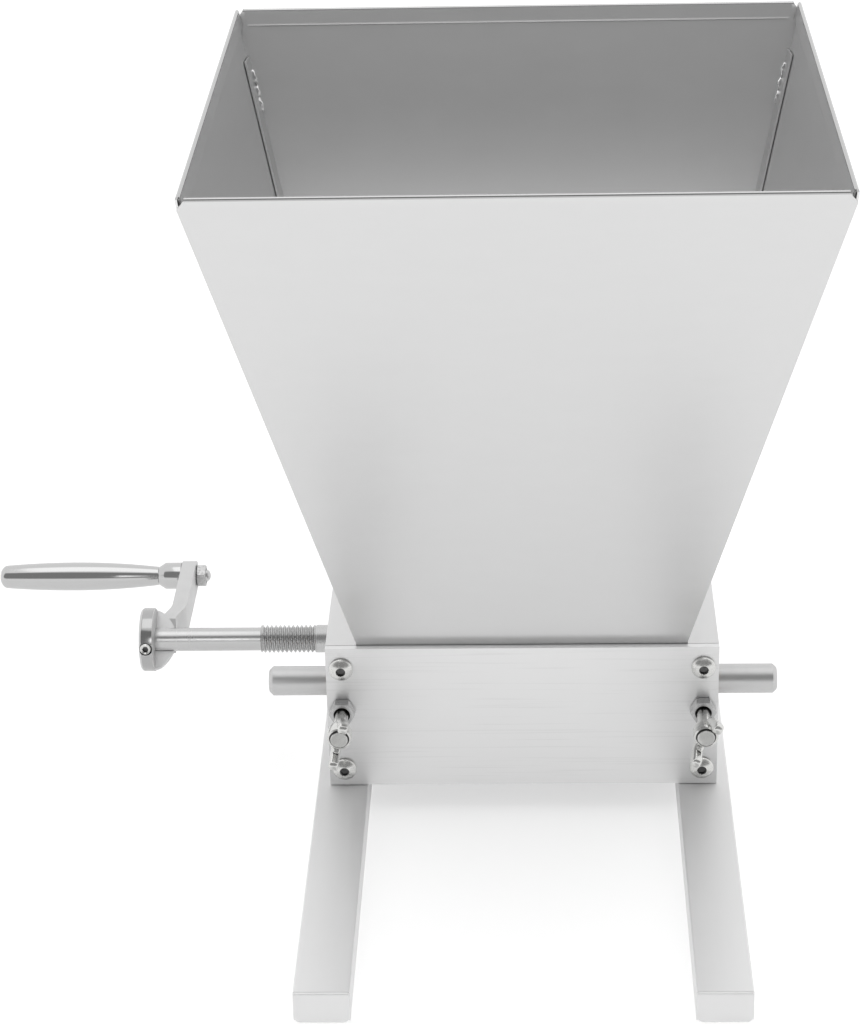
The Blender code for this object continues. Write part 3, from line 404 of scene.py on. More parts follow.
RAIL_SOCKET_HALF_FLAT = 0.0015
RAIL_SOCKET_DEPTH = 0.0015

for end in ("front", "back"):
    for side in ("left", "right"):
        button_screw("rail_screw_%s_%s" % (end, side), RAIL_SOCKET_HALF_FLAT, RAIL_SOCKET_DEPTH)


# Bearings: flanged bushes of sintered bronze for the drive shaft, and two bronze blocks that
# slide in slots of the side plates and carry the idler shaft. Sintered bronze is matt and
# slightly mottled, with the oil in its pores.

BRONZE_SHADES = ("#A9814E", "#C49C63")
BEARING_EDGE = 0.0003

# Open pores give pressed and sintered bronze a fine, slightly darker speckle.
BRONZE = grain(surface("sintered_bronze", BRONZE_SHADES[0], 0.42), 0.0006, 4.0, bump=(0.4, 0.00003),
               shades=BRONZE_SHADES)
for side in ("left", "right"):
    dress(side + "_drive_bush", BRONZE)
    dress(side + "_bearing_block", BRONZE, BEARING_EDGE)


# Rollers: two bars of turned steel, 38 mm across, with a diamond knurl that grips the grain.
# The knurl is cut 0.35 mm deep at a pitch of 2 mm, drawn a little coarser than a fine one so
# that it shows. The steel is unplated and darker than the rest of the mill.

KNURLS_ROUND = 58
KNURL_PITCH = 0.002
KNURL_DEPTH = 0.00035
KNURL_SAMPLES = 4
ROLLER_EDGE = 0.0012
DRIVE_BORE = 0.00665
IDLER_BORE = 0.0068


def along_x(x, y, z):
    """Lays a turned piece along X, with its height counted to the right from the given point."""
    return Matrix.Translation((x, y, z)) @ Matrix.Rotation(math.pi / 2, 4, "Y")


def bar_of(node):
    """A round piece along X, from its node's box: its ends, its axis and its radius."""
    low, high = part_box(node)
    middle = (low + high) / 2
    return SimpleNamespace(left=low.x, middle=middle.x, right=high.x, length=high.x - low.x,
                           y=middle.y, z=middle.z, radius=(high.z - low.z) / 2)


def roller(node, bore, body):
    bar = bar_of(node)
    radius, length = bar.radius, bar.length

    def knurl(height):
        def radius_at(angle):
            turn = KNURLS_ROUND * angle / (2 * math.pi)
            step = height / KNURL_PITCH
            cut = min(abs((turn + step) % 1 - 0.5), abs((turn - step) % 1 - 0.5)) * 2
            return radius - KNURL_DEPTH * (1 - min(cut * 1.25, 1))
        return radius_at

    edge = ROLLER_EDGE
    stations = [(0, bore), (0, radius - edge), (edge, radius - 0.0001)]
    rows = round((length - 2 * edge) / (KNURL_PITCH / KNURL_SAMPLES))
    for i in range(1, rows):
        height = edge + (length - 2 * edge) * i / rows
        stations.append((height, knurl(height)))
    stations += [(length - edge, radius - 0.0001), (length, radius - edge), (length, bore)]
    shape = bmesh.new()
    lathe(shape, stations, KNURLS_ROUND * KNURL_SAMPLES, along_x(bar.left, bar.y, bar.z), closed=True)
    piece(node + "_knurled", shape, [ROLLER_STEEL], body, [node], 40)


# Unplated machined steel is dull grey, with the sheen of cut faces.
ROLLER_STEEL = grain(surface("knurled_steel", "#8E8F91", 0.38), 0.0012, 3.0, shades=("#7D7E80", "#A6A7A9"))
roller("drive_roller", DRIVE_BORE, "crank")
roller("idler_roller", IDLER_BORE, "idler")


# Idler shaft: a plain ground bar, 13 mm across, that sticks out of both sides of the block.
# Its ends are faced and chamfered, and its surface has the faint rings of turning.

TURNING_FEED = 0.002
IDLER_CHAMFER = 0.0016
IDLER_CHAMFER_ROUND = 0.0003


def turned_steel(name, shade, roughness):
    """Turned and polished steel: rings run round the axis, drawn coarser than the real fine feed."""
    return brush_lines(surface(name, shade, roughness), (TURNING_FEED, 0.02, 0.02), 0.01,
                       (roughness * 0.9, roughness * 1.1), 0.000001)


def idler_shaft():
    bar = bar_of("idler_shaft")
    edge, curve = IDLER_CHAMFER, IDLER_CHAMFER_ROUND
    half = [(0, 0), (0, bar.radius - edge - curve), (0.0001, bar.radius - edge),
            (edge, bar.radius - curve / 2), (edge + curve, bar.radius)]
    stations = half + [(bar.length - h, r) for h, r in reversed(half)]
    shape = bmesh.new()
    lathe(shape, stations, 96, along_x(bar.left, bar.y, bar.z))
    piece("idler_bar", shape, [IDLER_STEEL], "idler", ["idler_shaft"], 25)


# The ground bar has one soft, broad light band.
IDLER_STEEL = turned_steel("ground_idler_bar", "#D0D0D0", 0.38)
idler_shaft()


# Drive shaft: a half-inch bar turned down to a 10.6 mm rod for the crank. Outside the block it
# has a short journal and thirteen turns of thread, left from the bar stock. The rod's end sits
# in the crank's hub. The thread is a true right-hand helix with flat crests.

THREAD_PITCH = 0.001954
THREAD_TURNS = 13
SHAFT_RADIUS = 0.00635
ROD_RADIUS = 0.0053
THREAD_START = 0.0083
THREAD_FLANK = 2.7
THREAD_CREST = 0.17
SHAFT_CHAMFER = 0.0006
ROD_CHAMFER = 0.0005


def drive_shaft():
    bar = bar_of("drive_shaft")
    block_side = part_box("left_side_plate")[0].x
    journal_end = bar.right - (block_side - THREAD_START)
    thread_length = THREAD_TURNS * THREAD_PITCH

    def thread(height):
        run_out = min(1.0, (height - journal_end) / (THREAD_PITCH * 0.8) + 0.05,
                      (journal_end + thread_length - height) / (THREAD_PITCH * 0.5) + 0.05)

        def radius_at(angle):
            phase = ((height / THREAD_PITCH) - angle / (2 * math.pi)) % 1
            cut = min(max(abs(phase - 0.5) * THREAD_FLANK - THREAD_CREST, 0), 1)
            depth = (SHAFT_RADIUS - ROD_RADIUS + 0.0001) * cut
            return SHAFT_RADIUS - depth * max(run_out, 0)
        return radius_at

    stations = [(0, 0), (0, SHAFT_RADIUS - SHAFT_CHAMFER), (SHAFT_CHAMFER, SHAFT_RADIUS),
                (journal_end - 0.0001, SHAFT_RADIUS)]
    rows = THREAD_TURNS * 16
    for i in range(rows + 1):
        height = journal_end + thread_length * i / rows
        stations.append((height, thread(height)))
    end = bar.length
    stations += [(journal_end + thread_length + 0.0002, ROD_RADIUS), (end - ROD_CHAMFER, ROD_RADIUS),
                 (end, ROD_RADIUS - ROD_CHAMFER), (end, 0)]
    place = Matrix.Translation((bar.right, bar.y, bar.z)) @ Matrix.Rotation(-math.pi / 2, 4, "Y")
    shape = bmesh.new()
    lathe(shape, stations, 72, place)
    piece("threaded_crankshaft", shape, [SHAFT_STEEL], "crank", ["drive_shaft"], 35)


# The rod was polished after turning, so its light band is narrower than the idler's.
SHAFT_STEEL = turned_steel("turned_crankshaft", "#C8C8C8", 0.26)
drive_shaft()


# Lock nuts: M6 nuts on the wing screws, against the front plate. Cold formed and plated, with
# both faces' corners turned off at 30 degrees and a countersunk thread.

NUT_HALF_FLAT = 0.005
NUT_BORE = 0.0031
NUT_MOUTH = 0.0036
NUT_CHAMFER = math.radians(30)


def nut(name, node, half_flat, mouth, thickness, place, body):
    """A hexagon nut with its bore and the wider mouth of its countersink on both faces."""
    corner = hexagon(half_flat)
    slant = math.tan(NUT_CHAMFER)
    sink = (mouth - NUT_BORE) * 1.4

    def upper(angle):
        return thickness - (corner(angle) - half_flat * 0.96) * slant

    def lower(angle):
        return (corner(angle) - half_flat * 0.96) * slant

    stations = [(sink, NUT_BORE), (0, mouth), (0, half_flat * 0.93), (lower, corner), (upper, corner),
                (thickness, half_flat * 0.93), (thickness, mouth), (thickness - sink, NUT_BORE)]
    shape = bmesh.new()
    lathe(shape, stations, 72, place, closed=True)
    # The bore is darkened with painted shade.
    painted_shade_faces(shape, place, mouth, sink * 0.1, thickness - sink * 0.1)
    piece(name, shape, [NUT_STEEL, RECESS_SHADE_STEEL], body, [node], 28)


# Zinc plating is greyer and more clouded than the screws' bright plating.
NUT_STEEL = plated_steel("zinc_plated_nut", "#C2C2C2", 0.36)
for side in ("left", "right"):
    low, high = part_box(side + "_lock_nut")
    centre = (low + high) / 2
    face_out = Matrix.Translation((centre.x, high.y, centre.z)) @ Matrix.Rotation(math.pi / 2, 4, "X")
    nut(side + "_hex_nut", side + "_lock_nut", NUT_HALF_FLAT, NUT_MOUTH, high.y - low.y, face_out,
        side + "_lock_nut")


# Wing screws: cast heads on M6 screws, which set the roller gap. The head is a tapered boss with
# a flat round end, and two stubby wings that sweep forward and outward. The casting is tumbled
# and plated, so it is brighter and more uneven than the turned parts.

WING_TILTS = {"left": math.radians(15), "right": math.radians(29)}
M6_THREAD_RADIUS = 0.0029
M6_THREAD_DEPTH = 0.0005
M6_THREAD_PITCH = 0.001
M6_THREAD_ROW = 0.00025
TIP_CHAMFER = 0.0006
THREAD_END = 0.0045

# The boss's heights count from its foot, and its end face's depths count back from its end.
BOSS_START = 0.0183
BOSS_END = 0.0268
BOSS_SIDE = ((0.0002, 0.0043), (0.0010, 0.0051), (0.0024, 0.0054), (0.0050, 0.0054), (0.0066, 0.0053),
             (0.0074, 0.0050), (0.0077, 0.0044), (0.0076, 0.0042), (0.0072, 0.0041))
BOSS_FACE = ((0.0013, 0.0037), (0.0002, 0.0037), (0, 0.0035), (0.0001, 0.0020), (0.0001, 0))
GROOVE_RADIUS = 0.00418
GROOVE_DEPTHS = (0.0002, 0.0014)

# A wing's edges: distance from the axis and height from the boss's foot.
WING_OUTER = ((0.0020, 0.0008), (0.0052, 0.0008), (0.0073, 0.0023), (0.0088, 0.0050))
WING_INNER = ((0.0060, 0.0086), (0.0042, 0.0068), (0.0020, 0.0064))
WING_TIP = (0.0092, 0.0138)
WING_TIP_RADIUS = 0.0024
WING_HALF_THICKNESS = 0.0021
WING_EDGE = 0.0012


def helper(name, shape):
    """A mesh that only joins or cuts another piece, and isn't shown itself."""
    bmesh.ops.recalc_face_normals(shape, faces=shape.faces)
    item = mesh_object(name, shape)
    item.hide_render = True
    return item


def combine(item, other, operation):
    """Joins or cuts a piece with a helper, and bakes the result into the piece's mesh."""
    step = item.modifiers.new("combine", "BOOLEAN")
    step.operation = operation
    step.solver = "EXACT"
    step.object = other
    bpy.context.view_layer.update()
    graph = bpy.context.evaluated_depsgraph_get()
    made = bpy.data.meshes.new_from_object(item.evaluated_get(graph))
    item.modifiers.clear()
    old = item.data
    item.data = made
    bpy.data.meshes.remove(old)
    bpy.data.objects.remove(other)
    made.shade_smooth()
    made.set_sharp_from_angle(angle=math.radians(30))


def wing_bar(place, away):
    """One wing: it leaves the boss sideways, bends forward and ends round, with rounded edges."""
    turns = [math.radians(-30 + 190 * i / 10) for i in range(11)]
    tip = [(WING_TIP[0] + WING_TIP_RADIUS * math.cos(a), WING_TIP[1] + WING_TIP_RADIUS * math.sin(a))
           for a in turns]
    outline = [*WING_OUTER, *tip, *WING_INNER]
    shape = bmesh.new()
    caps = loft(shape, [[shape.verts.new((away * across, depth, BOSS_START + height))
                         for across, height in outline]
                        for depth in (-WING_HALF_THICKNESS, WING_HALF_THICKNESS)])
    bmesh.ops.recalc_face_normals(shape, faces=shape.faces)
    rims = list({edge for cap in caps for edge in cap.edges})
    bmesh.ops.bevel(shape, geom=rims, offset=WING_EDGE, segments=4, profile=0.5, affect="EDGES",
                    clamp_overlap=True)
    bmesh.ops.transform(shape, matrix=place, verts=shape.verts)
    return shape


def wing_screw(side):
    low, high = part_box(side + "_wing_screw")
    nut_low, nut_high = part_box(side + "_lock_nut")
    axis = (nut_low + nut_high) / 2
    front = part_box("front_plate")[0].y
    tip = high.y - front
    place = Matrix.Translation((axis.x, front, axis.z)) @ Matrix.Rotation(WING_TILTS[side], 4, "Y")
    place = place @ Matrix.Rotation(math.pi / 2, 4, "X") @ Matrix.Rotation(math.pi / 2, 4, "Z")

    def thread(height):
        def radius_at(angle):
            phase = (height / M6_THREAD_PITCH + angle / (2 * math.pi)) % 1
            return M6_THREAD_RADIUS - M6_THREAD_DEPTH * abs(phase - 0.5) * 2
        return radius_at

    start = TIP_CHAMFER - tip
    stations = [(-tip, 0), (-tip, 0.0022), (start - 0.0001, 0.0026)]
    rows = round((THREAD_END - start) / M6_THREAD_ROW)
    for i in range(rows + 1):
        height = start + (THREAD_END - start) * i / rows
        stations.append((height, thread(height)))
    stations += [(THREAD_END + 0.0002, M6_THREAD_RADIUS), (BOSS_START - 0.0003, M6_THREAD_RADIUS),
                 (BOSS_START, M6_THREAD_RADIUS + 0.0002)]
    stations += [(BOSS_START + height, radius) for height, radius in BOSS_SIDE]
    stations += [(BOSS_END - depth, radius) for depth, radius in BOSS_FACE]
    shape = bmesh.new()
    lathe(shape, stations, 48, place)
    # The groove round the end face is darkened with painted shade.
    painted_shade_faces(shape, place, GROOVE_RADIUS, BOSS_END - GROOVE_DEPTHS[1], BOSS_END - GROOVE_DEPTHS[0])
    item = piece(side + "_thumb_screw", shape, [CASTING, RECESS_SHADE_STEEL], side + "_wing_screw",
                 [side + "_wing_screw"])
    for away in (-1, 1):
        combine(item, helper(side + "_wing_bar", wing_bar(place, away)), "UNION")


# A plated casting is bright, with the soft dimples of the mould.
CASTING = grain(surface("plated_casting", "#DDDDDB", 0.2), 0.0022, 2.0, (0.14, 0.26), bump=(0.5, 0.0003))
wing_screw("left")
wing_screw("right")


# Hopper: four panels of 1 mm stainless sheet with a satin finish. Each panel has a collar that
# stands in the block, a bend at the waist and a hem at the rim, folded inwards to make the edge
# stiff and safe. The front and back panels carry a narrow flange down each side, which lies
# inside the side panels and is tacked to them near the rim.

SHEET = 0.0009
GAP = 0.0003
MOUTH_HALF = 0.128
COLLAR = 0.007
WAIST_RADIUS = 0.0008
WAIST_LIFT = 0.0008
SHEET_EDGE = 0.00015
END_CORNER_GAP = 0.0039
SIDE_CORNER_GAP = 0.0018

# The rim's stretches, each with its length and its turn in degrees from the panel's own plane. The
# draw-in's lengths are shares of the whole draw-in.
DRAW_LENGTH = 0.0045
DRAW_STEPS = ((0.2, 1.5), (0.2, 3), (0.2, 5), (0.18, 9), (0.11, 16), (0.11, 30))
FOLD_RADIUS = 0.00095
FOLD_START = 37
FOLD_STEP = 15
HEM = 0.007
HEM_SUPPORT = 0.0004
HEM_TIP = ((0.0004, 180), (0.0007, 190), (0.0004, 240))

FLANGE = 0.0145
FLANGE_DROP = 0.0200
FLANGE_FOOT = 0.004
FLANGE_SLOPE = 0.1

# Weld lumps: height and half length. Their place counts from the side panel and the end panel.
WELD_LUMPS = ((0.2062, 0.0036), (0.2003, 0.0030), (0.1948, 0.0034))
WELD_PLACE = (0.0011, 0.0026)
WELD_HALF_SIZE = (0.0011, 0.0014)
WELD_RIPPLE_LENGTH = 0.0024
WELD_RIPPLE_HEIGHT = 0.0007
WELD_RIPPLE_SEED = 1


def hopper_stainless(name, shades):
    """Satin stainless sheet: soft even reflections, with the faint cloudiness of rolled sheet."""
    return brush_lines(surface(name, shades[0], 0.30), (0.020, 0.020, 0.0080), 0.03, (0.30, 0.33), 0.000001,
                       shades)


middle_x = (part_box("front_plate")[0].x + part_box("front_plate")[1].x) / 2
waist_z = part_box("front_plate")[1].z
rim_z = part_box("hopper_front_panel")[1].z
rise = rim_z - waist_z
base_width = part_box("right_side_plate")[0].x - middle_x - GAP
base_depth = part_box("back_plate")[0].y - GAP
side_wall = (SHEET + GAP) / math.cos(math.atan2(MOUTH_HALF - base_width, rise))
end_wall = SHEET / math.cos(math.atan2(MOUTH_HALF - base_depth, rise))


def half_width(height):
    """Half the hopper's width at a height above the waist."""
    return base_width + (MOUTH_HALF - base_width) * max(height, 0) / rise


def half_depth(height):
    """Half the hopper's depth at a height above the waist."""
    return base_depth + (MOUTH_HALF - base_depth) * max(height, 0) / rise


def between_walls(height):
    """Half the length of a side panel, which stands between the front and back panels."""
    return half_depth(height) - end_wall - GAP


def rim_section(corner_gap):
    """Outer face of a rim: along the panel, inward, how far its ends are cut back, and if it is the fold."""
    steps = [(DRAW_LENGTH * share, turn) for share, turn in DRAW_STEPS]
    steps += [(FOLD_RADIUS * math.radians(FOLD_STEP), turn) for turn in range(FOLD_START, 180, FOLD_STEP)]
    flat = HEM - HEM_SUPPORT - sum(length for length, turn in HEM_TIP)
    steps += [(HEM_SUPPORT, 180), (flat, 180), *HEM_TIP]
    spots, along, inward, path = [], 0, 0, 0
    for length, turn in steps:
        path += length
        along += length * math.cos(math.radians(turn))
        inward += length * math.sin(math.radians(turn))
        cut_back = corner_gap * min(path / DRAW_LENGTH, 1 + turn / 900)
        spots.append((along, inward, cut_back, DRAW_STEPS[-1][1] <= turn < 180))
    return spots


def panel_rows(base, corner_gap):
    """Outer face of a panel from its collar to its hem: distance out, height, cut-back, and if folded."""
    lean = math.atan2(MOUTH_HALF - base, rise)
    up, out = math.cos(lean), math.sin(lean)

    def spot(along, inward, cut_back=0, folded=False):
        return (base + along * out - inward * up, along * up + inward * out, cut_back, folded)

    rows = [(base, -COLLAR, 0, False)]
    foot = WAIST_LIFT - WAIST_RADIUS * math.tan(lean / 2)
    for a in (lean * i / 4 for i in range(5)):
        rows.append((base + WAIST_RADIUS * (1 - math.cos(a)), foot + WAIST_RADIUS * math.sin(a), 0, False))
    rim = rim_section(corner_gap)
    draw_start = (rise - max(along * up + inward * out for along, inward, *rest in rim)) / up
    rows += [spot(draw_start * i / 4, 0) for i in range(1, 5)]
    return rows + [spot(draw_start + along, *rest) for along, *rest in rim]


def panel_mesh(outward, base, half_length, corner_gap):
    """An open sheet, one strip per row, that Solidify then thickens towards the inside."""
    along = Vector((0, 0, 1)).cross(outward)
    shape = bmesh.new()
    lower = None
    for distance, height, cut_back, folded in panel_rows(base, corner_gap):
        half = half_length(height) - cut_back
        middle = outward * distance + Vector((middle_x, 0, waist_z + height))
        upper = [shape.verts.new(middle + along * half * share) for share in (-1, -0.5, 0, 0.5, 1)]
        for i in range(4 if lower else 0):
            face = shape.faces.new((lower[i], lower[i + 1], upper[i + 1], upper[i]))
            # The fold's rows take the second material, whose darker shade is painted shade.
            face.material_index = 1 if folded else 0
        lower = upper
    return shape


def sheet_object(name, shape, materials, rim_material=0):
    """A piece of hopper sheet: thickened inwards, with its edges broken."""
    item = mesh_object(name, shape, materials, 35)
    step = item.modifiers.new("sheet", "SOLIDIFY")
    step.thickness = SHEET
    step.offset = -1
    step.use_even_offset = True
    step.material_offset_rim = rim_material
    edge_break(item, SHEET_EDGE, 2, 50)
    return item


def panel(name, outward, base, half_length, material, corner_gap):
    shape = panel_mesh(Vector(outward), base, half_length, corner_gap)
    item = sheet_object("hopper_%s_sheet" % name, shape, [material, FOLD_SHADE_STEEL])
    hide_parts("hopper_%s_panel" % name)
    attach(item, "mill")


def corner_point(right, back, height, inset, setback):
    """A point inside a corner of the hopper, measured from the inner faces of both panels."""
    return Vector((middle_x + right * (half_width(height) - side_wall - inset),
                   back * (half_depth(height) - end_wall - setback), waist_z + height))


def flange(name, right, back):
    """A flange of the front or back panel, which lies flat against the inside of a side panel."""
    length = rise - FLANGE_DROP - FLANGE_FOOT
    shape = bmesh.new()
    lower = None
    for share in (i / 12 for i in range(13)):
        upper = []
        for setback in (0.0001, FLANGE):
            height = FLANGE_FOOT + (length + setback * FLANGE_SLOPE) * share
            upper.append(shape.verts.new(corner_point(right, back, height, 0, setback)))
        if lower:
            corners = (lower[0], lower[1], upper[1], upper[0])
            shape.faces.new(corners if right * back < 0 else corners[::-1])
        lower = upper
    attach(sheet_object(name, shape, [HOPPER_STEEL, SHEARED_EDGE], 1), "mill")


def tack_weld(name, right, back):
    """Three lumps of weld in the corner, just below the flange's top."""
    shape = bmesh.new()
    for height, half_length in WELD_LUMPS:
        foot, tip = (corner_point(right, back, height + end, *WELD_PLACE)
                     for end in (-half_length, half_length))
        turn = (tip - foot).to_track_quat("Z", "Y").to_matrix().to_4x4()
        size = Matrix.Diagonal((*WELD_HALF_SIZE, half_length, 1))
        bmesh.ops.create_uvsphere(shape, u_segments=20, v_segments=12, radius=1,
                                  matrix=Matrix.Translation((tip + foot) / 2) @ turn @ size)
    # Without a seed of its own, the noise and with it the ripple would be another at each run.
    noise.seed_set(WELD_RIPPLE_SEED)
    for vertex in shape.verts:
        vertex.co += noise.noise_vector(vertex.co / WELD_RIPPLE_LENGTH) * WELD_RIPPLE_HEIGHT
    piece(name, shape, [WELD_METAL], "mill")


HOPPER_STEEL = hopper_stainless("satin_stainless_hopper", ("#E2E2E2", "#E5E5E5"))
# The side panels are a lighter copy of the same satin sheet: painted light, which brightens their inner
# faces.
SIDE_LIT_STEEL = hopper_stainless("satin_stainless_side_painted_light", ("#F0F0F0", "#F3F3F3"))
# The fold is stretched tight and comes out smoother than the satin sheet; its darker shade is painted shade
# for the dark line along the rim.
# A sheared edge shows as a thin light line, and weld metal is left as it flowed, smooth and bright.
FOLD_SHADE_STEEL = surface("stretched_stainless_fold_painted_shade", "#C0C0C0", 0.14)[0]
SHEARED_EDGE = surface("sheared_stainless_edge", "#DCDCDC", 0.35)[0]
WELD_METAL = surface("tack_weld", "#D4D4D4", 0.16)[0]
for end, back in (("front", -1), ("back", 1)):
    panel(end, (0, back, 0), base_depth, half_width, HOPPER_STEEL, END_CORNER_GAP)
    for side, right in (("left", -1), ("right", 1)):
        flange("hopper_%s_flange_%s" % (end, side), right, back)
        tack_weld("hopper_%s_weld_%s" % (end, side), right, back)
for side, right in (("left", -1), ("right", 1)):
    panel(side, (right, 0, 0), base_width, between_walls, SIDE_LIT_STEEL, SIDE_CORNER_GAP)


# Crank arm: a steel casting, machined and then tumbled satin. The hub has a turned and polished
# rim, and behind the shaft a flare with a flat face, from which the arm runs back. The flat
# arm steps inboard in a slant and ends round.

HUB_RIM = 0.0063
HUB_ROUND = 0.0016
HUB_EDGE = 0.0003
HUB_FLARE = 0.0081
HUB_FACE_TILT = math.radians(46)
FLARE_STEPS = 48
SHAFT_BORE = 0.00545
ARM_HALF_WIDTH = 0.007
ARM_THICKNESS = 0.0066
SPINDLE_HOLE = 0.0032
SET_SCREW_TILT = math.radians(10)
SET_SCREW_RADIUS = 0.00255
SET_SCREW_FOOT = 0.0057
SET_SCREW_HALF_FLAT = 0.00125
POCKET_RADIUS = 0.0027
POCKET_MOUTH = 0.0036

# The arm's step inboard: distance along the arm, and how far it still stands out.
ARM_STEP = ((0, 0.0036), (0.009, 0.0036), (0.0115, 0.00288), (0.015, 0.001512), (0.0185, 0.00036),
            (0.021, 0))


def half_flare(centre, radius):
    """The flare behind the shaft: half a round, closed by a flat face through the shaft's axis."""
    shape = bmesh.new()
    rows = [(HUB_RIM - 0.001, radius - 0.0006)]
    rows += [(HUB_RIM + HUB_FLARE * share, radius - 0.0004 - (HUB_FLARE - 0.0004) * share ** 1.8)
             for share in (i / 12 for i in range(13))]
    turns = [HUB_FACE_TILT + math.pi * i / FLARE_STEPS for i in range(FLARE_STEPS + 1)]
    loft(shape, [[shape.verts.new(centre + Vector((x, r * math.sin(a), r * math.cos(a)))) for a in turns]
                 for x, r in rows])
    return shape


def crank_bar(y, z, reach, inboard):
    """The flat arm: it starts against the flare's slanted face and ends in a half round."""
    outboard = inboard - ARM_THICKNESS
    path = [*ARM_STEP, (reach, 0), *((reach + ARM_HALF_WIDTH * math.sin(a), 0) for a in quarter(8))]
    shape = bmesh.new()
    rings = []
    for distance, shift in path:
        past = max(distance - reach, 0)
        tall = math.sqrt(max(ARM_HALF_WIDTH ** 2 - past ** 2, 0.0005 ** 2))
        corners = [(outboard - shift, -tall), (inboard - shift, -tall), (inboard - shift, tall),
                   (outboard - shift, tall)]
        slant = math.tan(HUB_FACE_TILT) if distance == 0 else 0
        rings.append([shape.verts.new((x, y + distance + max(h, 0) * slant, z + h)) for x, h in corners])
    loft(shape, rings)
    return shape


def cut_round(item, name, stations, steps, place):
    """Cuts a turned shape out of a piece."""
    shape = bmesh.new()
    lathe(shape, stations, steps, place)
    combine(item, helper(name, shape), "DIFFERENCE")


def crank_arm():
    hub, shaft, spindle = (bar_of(node) for node in ("crank_arm", "drive_shaft", "grip_spindle"))
    y, z, radius = shaft.y, shaft.z, hub.radius
    centre = Vector((hub.left, y, z))
    shape = bmesh.new()
    stations = [(0, 0), (0, radius - HUB_ROUND)]
    stations += [(HUB_ROUND * (1 - math.cos(a)), radius - HUB_ROUND * (1 - math.sin(a))) for a in quarter(5)]
    stations += [(HUB_RIM - HUB_EDGE, radius), (HUB_RIM, radius - HUB_EDGE), (HUB_RIM, 0)]
    lathe(shape, stations, 96, along_x(hub.left, y, z))
    item = piece("crank_casting", shape, [CRANK_STEEL, RIM_SHADE_STEEL, MILLED_LIT_STEEL], "crank",
                 ["crank_arm"])
    combine(item, helper("hub_flare", half_flare(centre, radius)), "UNION")
    combine(item, helper("crank_bar", crank_bar(y, z, spindle.y - y, hub.right)), "UNION")
    cut_round(item, "crank_bore", [(0, 0), (0, SHAFT_BORE), (0.03, SHAFT_BORE), (0.03, 0)], 64,
              along_x(hub.left - 0.001, y, z))
    cut_round(item, "spindle_hole", [(0, 0), (0, SPINDLE_HOLE), (0.03, SPINDLE_HOLE), (0.03, 0)], 32,
              along_x(hub.right - ARM_THICKNESS - 0.01, spindle.y, z))
    place = Matrix.Translation((bar_of("crank_set_screw").middle, y, z))
    place = place @ Matrix.Rotation(math.pi / 2 - SET_SCREW_TILT, 4, "X")
    cut_round(item, "set_screw_pocket", [
        (0, 0), (0, POCKET_RADIUS), (radius - 0.0006, POCKET_RADIUS), (radius + 0.0006, POCKET_MOUTH),
        (radius + 0.002, POCKET_MOUTH), (radius + 0.002, 0)], 32, place)
    edge_break(item, HUB_EDGE, 2, 40)
    item.modifiers["edge_break"].harden_normals = False
    finish_hub(item, centre, radius)
    set_screw(radius, place)


def finish_hub(item, centre, radius):
    """Gives the turned rim its darker material, with painted shade, and the flare's milled face its paler
    one, with painted light.
    """
    milled = Vector((0, -math.cos(HUB_FACE_TILT), math.sin(HUB_FACE_TILT)))
    for face in item.data.polygons:
        middle = face.center - centre
        if middle.x < HUB_RIM and math.hypot(middle.y, middle.z) > radius - 0.0001:
            face.material_index = 1
        elif face.normal.dot(milled) > 0.995:
            face.material_index = 2


def set_screw(top, place):
    """The set screw in the hub's rim: a headless screw with a hexagon socket and a chamfered top."""
    socket, outer = SET_SCREW_HALF_FLAT, SET_SCREW_RADIUS
    shape = bmesh.new()
    lathe(shape, [(top - 0.0024, 0), (top - 0.0022, hexagon(socket)), (top - 0.0001, hexagon(socket)),
                  (top + 0.0001, 0.0017), (top + 0.0002, 0.0021), (top - 0.0003, outer),
                  (SET_SCREW_FOOT + 0.0005, outer), (SET_SCREW_FOOT, 0.0021), (SET_SCREW_FOOT, 0)], 48, place)
    # The socket is darkened with painted shade.
    painted_shade_faces(shape, place, 0.0015, top - 0.003, top - 0.0001)
    piece("crank_grub_screw", shape, [SCREW_STEEL, RECESS_SHADE_STEEL], "crank",
          ["crank_set_screw"])


# The tumbled casting is pale and even, and too dull to mirror more than light and dark.
CRANK_STEEL = grain(surface("tumbled_crank_steel", "#DCDCDC", 0.6), 0.006, 2.0, (0.56, 0.64))
# The polished rim mirrors the dark room in a sharp band, and its darker shade is painted shade that deepens
# the band.
# The milled face shows broad and pale: its lighter shade than the casting is painted light.
RIM_SHADE_STEEL = turned_steel("polished_hub_rim_painted_shade", "#B4B4B4", 0.14)
MILLED_LIT_STEEL = surface("milled_hub_face_painted_light", "#EEEEEE", 0.45)[0]
crank_arm()


# Grip: a barrel turned from bright steel and polished, spinning on a shouldered spindle. The
# spindle's collar stands between grip and arm, and its stud is held by a domed nut inboard.

GRIP_END = 0.00515
GRIP_BELLY = 0.00675
GRIP_NECK = 0.0044
GRIP_ROUND = 0.0036
BELLY_SHARE = 0.48
GRIP_BORE = 0.0033
PIN_RADIUS = 0.003
STUD_RADIUS = 0.0029
STUD_DOME = 0.0022
SHOULDER_RADIUS = 0.00635
SHOULDER_EDGE = 0.0003
GRIP_GAP = 0.0003
GRIP_NUT_HALF_FLAT = 0.0049
GRIP_NUT_MOUTH = 0.0035

# The collar's taper behind the grip: distance from its face, and radius.
COLLAR_TAPER = ((0, PIN_RADIUS), (0, 0.0044), (0.0006, 0.00475), (0.0026, 0.00605), (0.0032, SHOULDER_RADIUS))


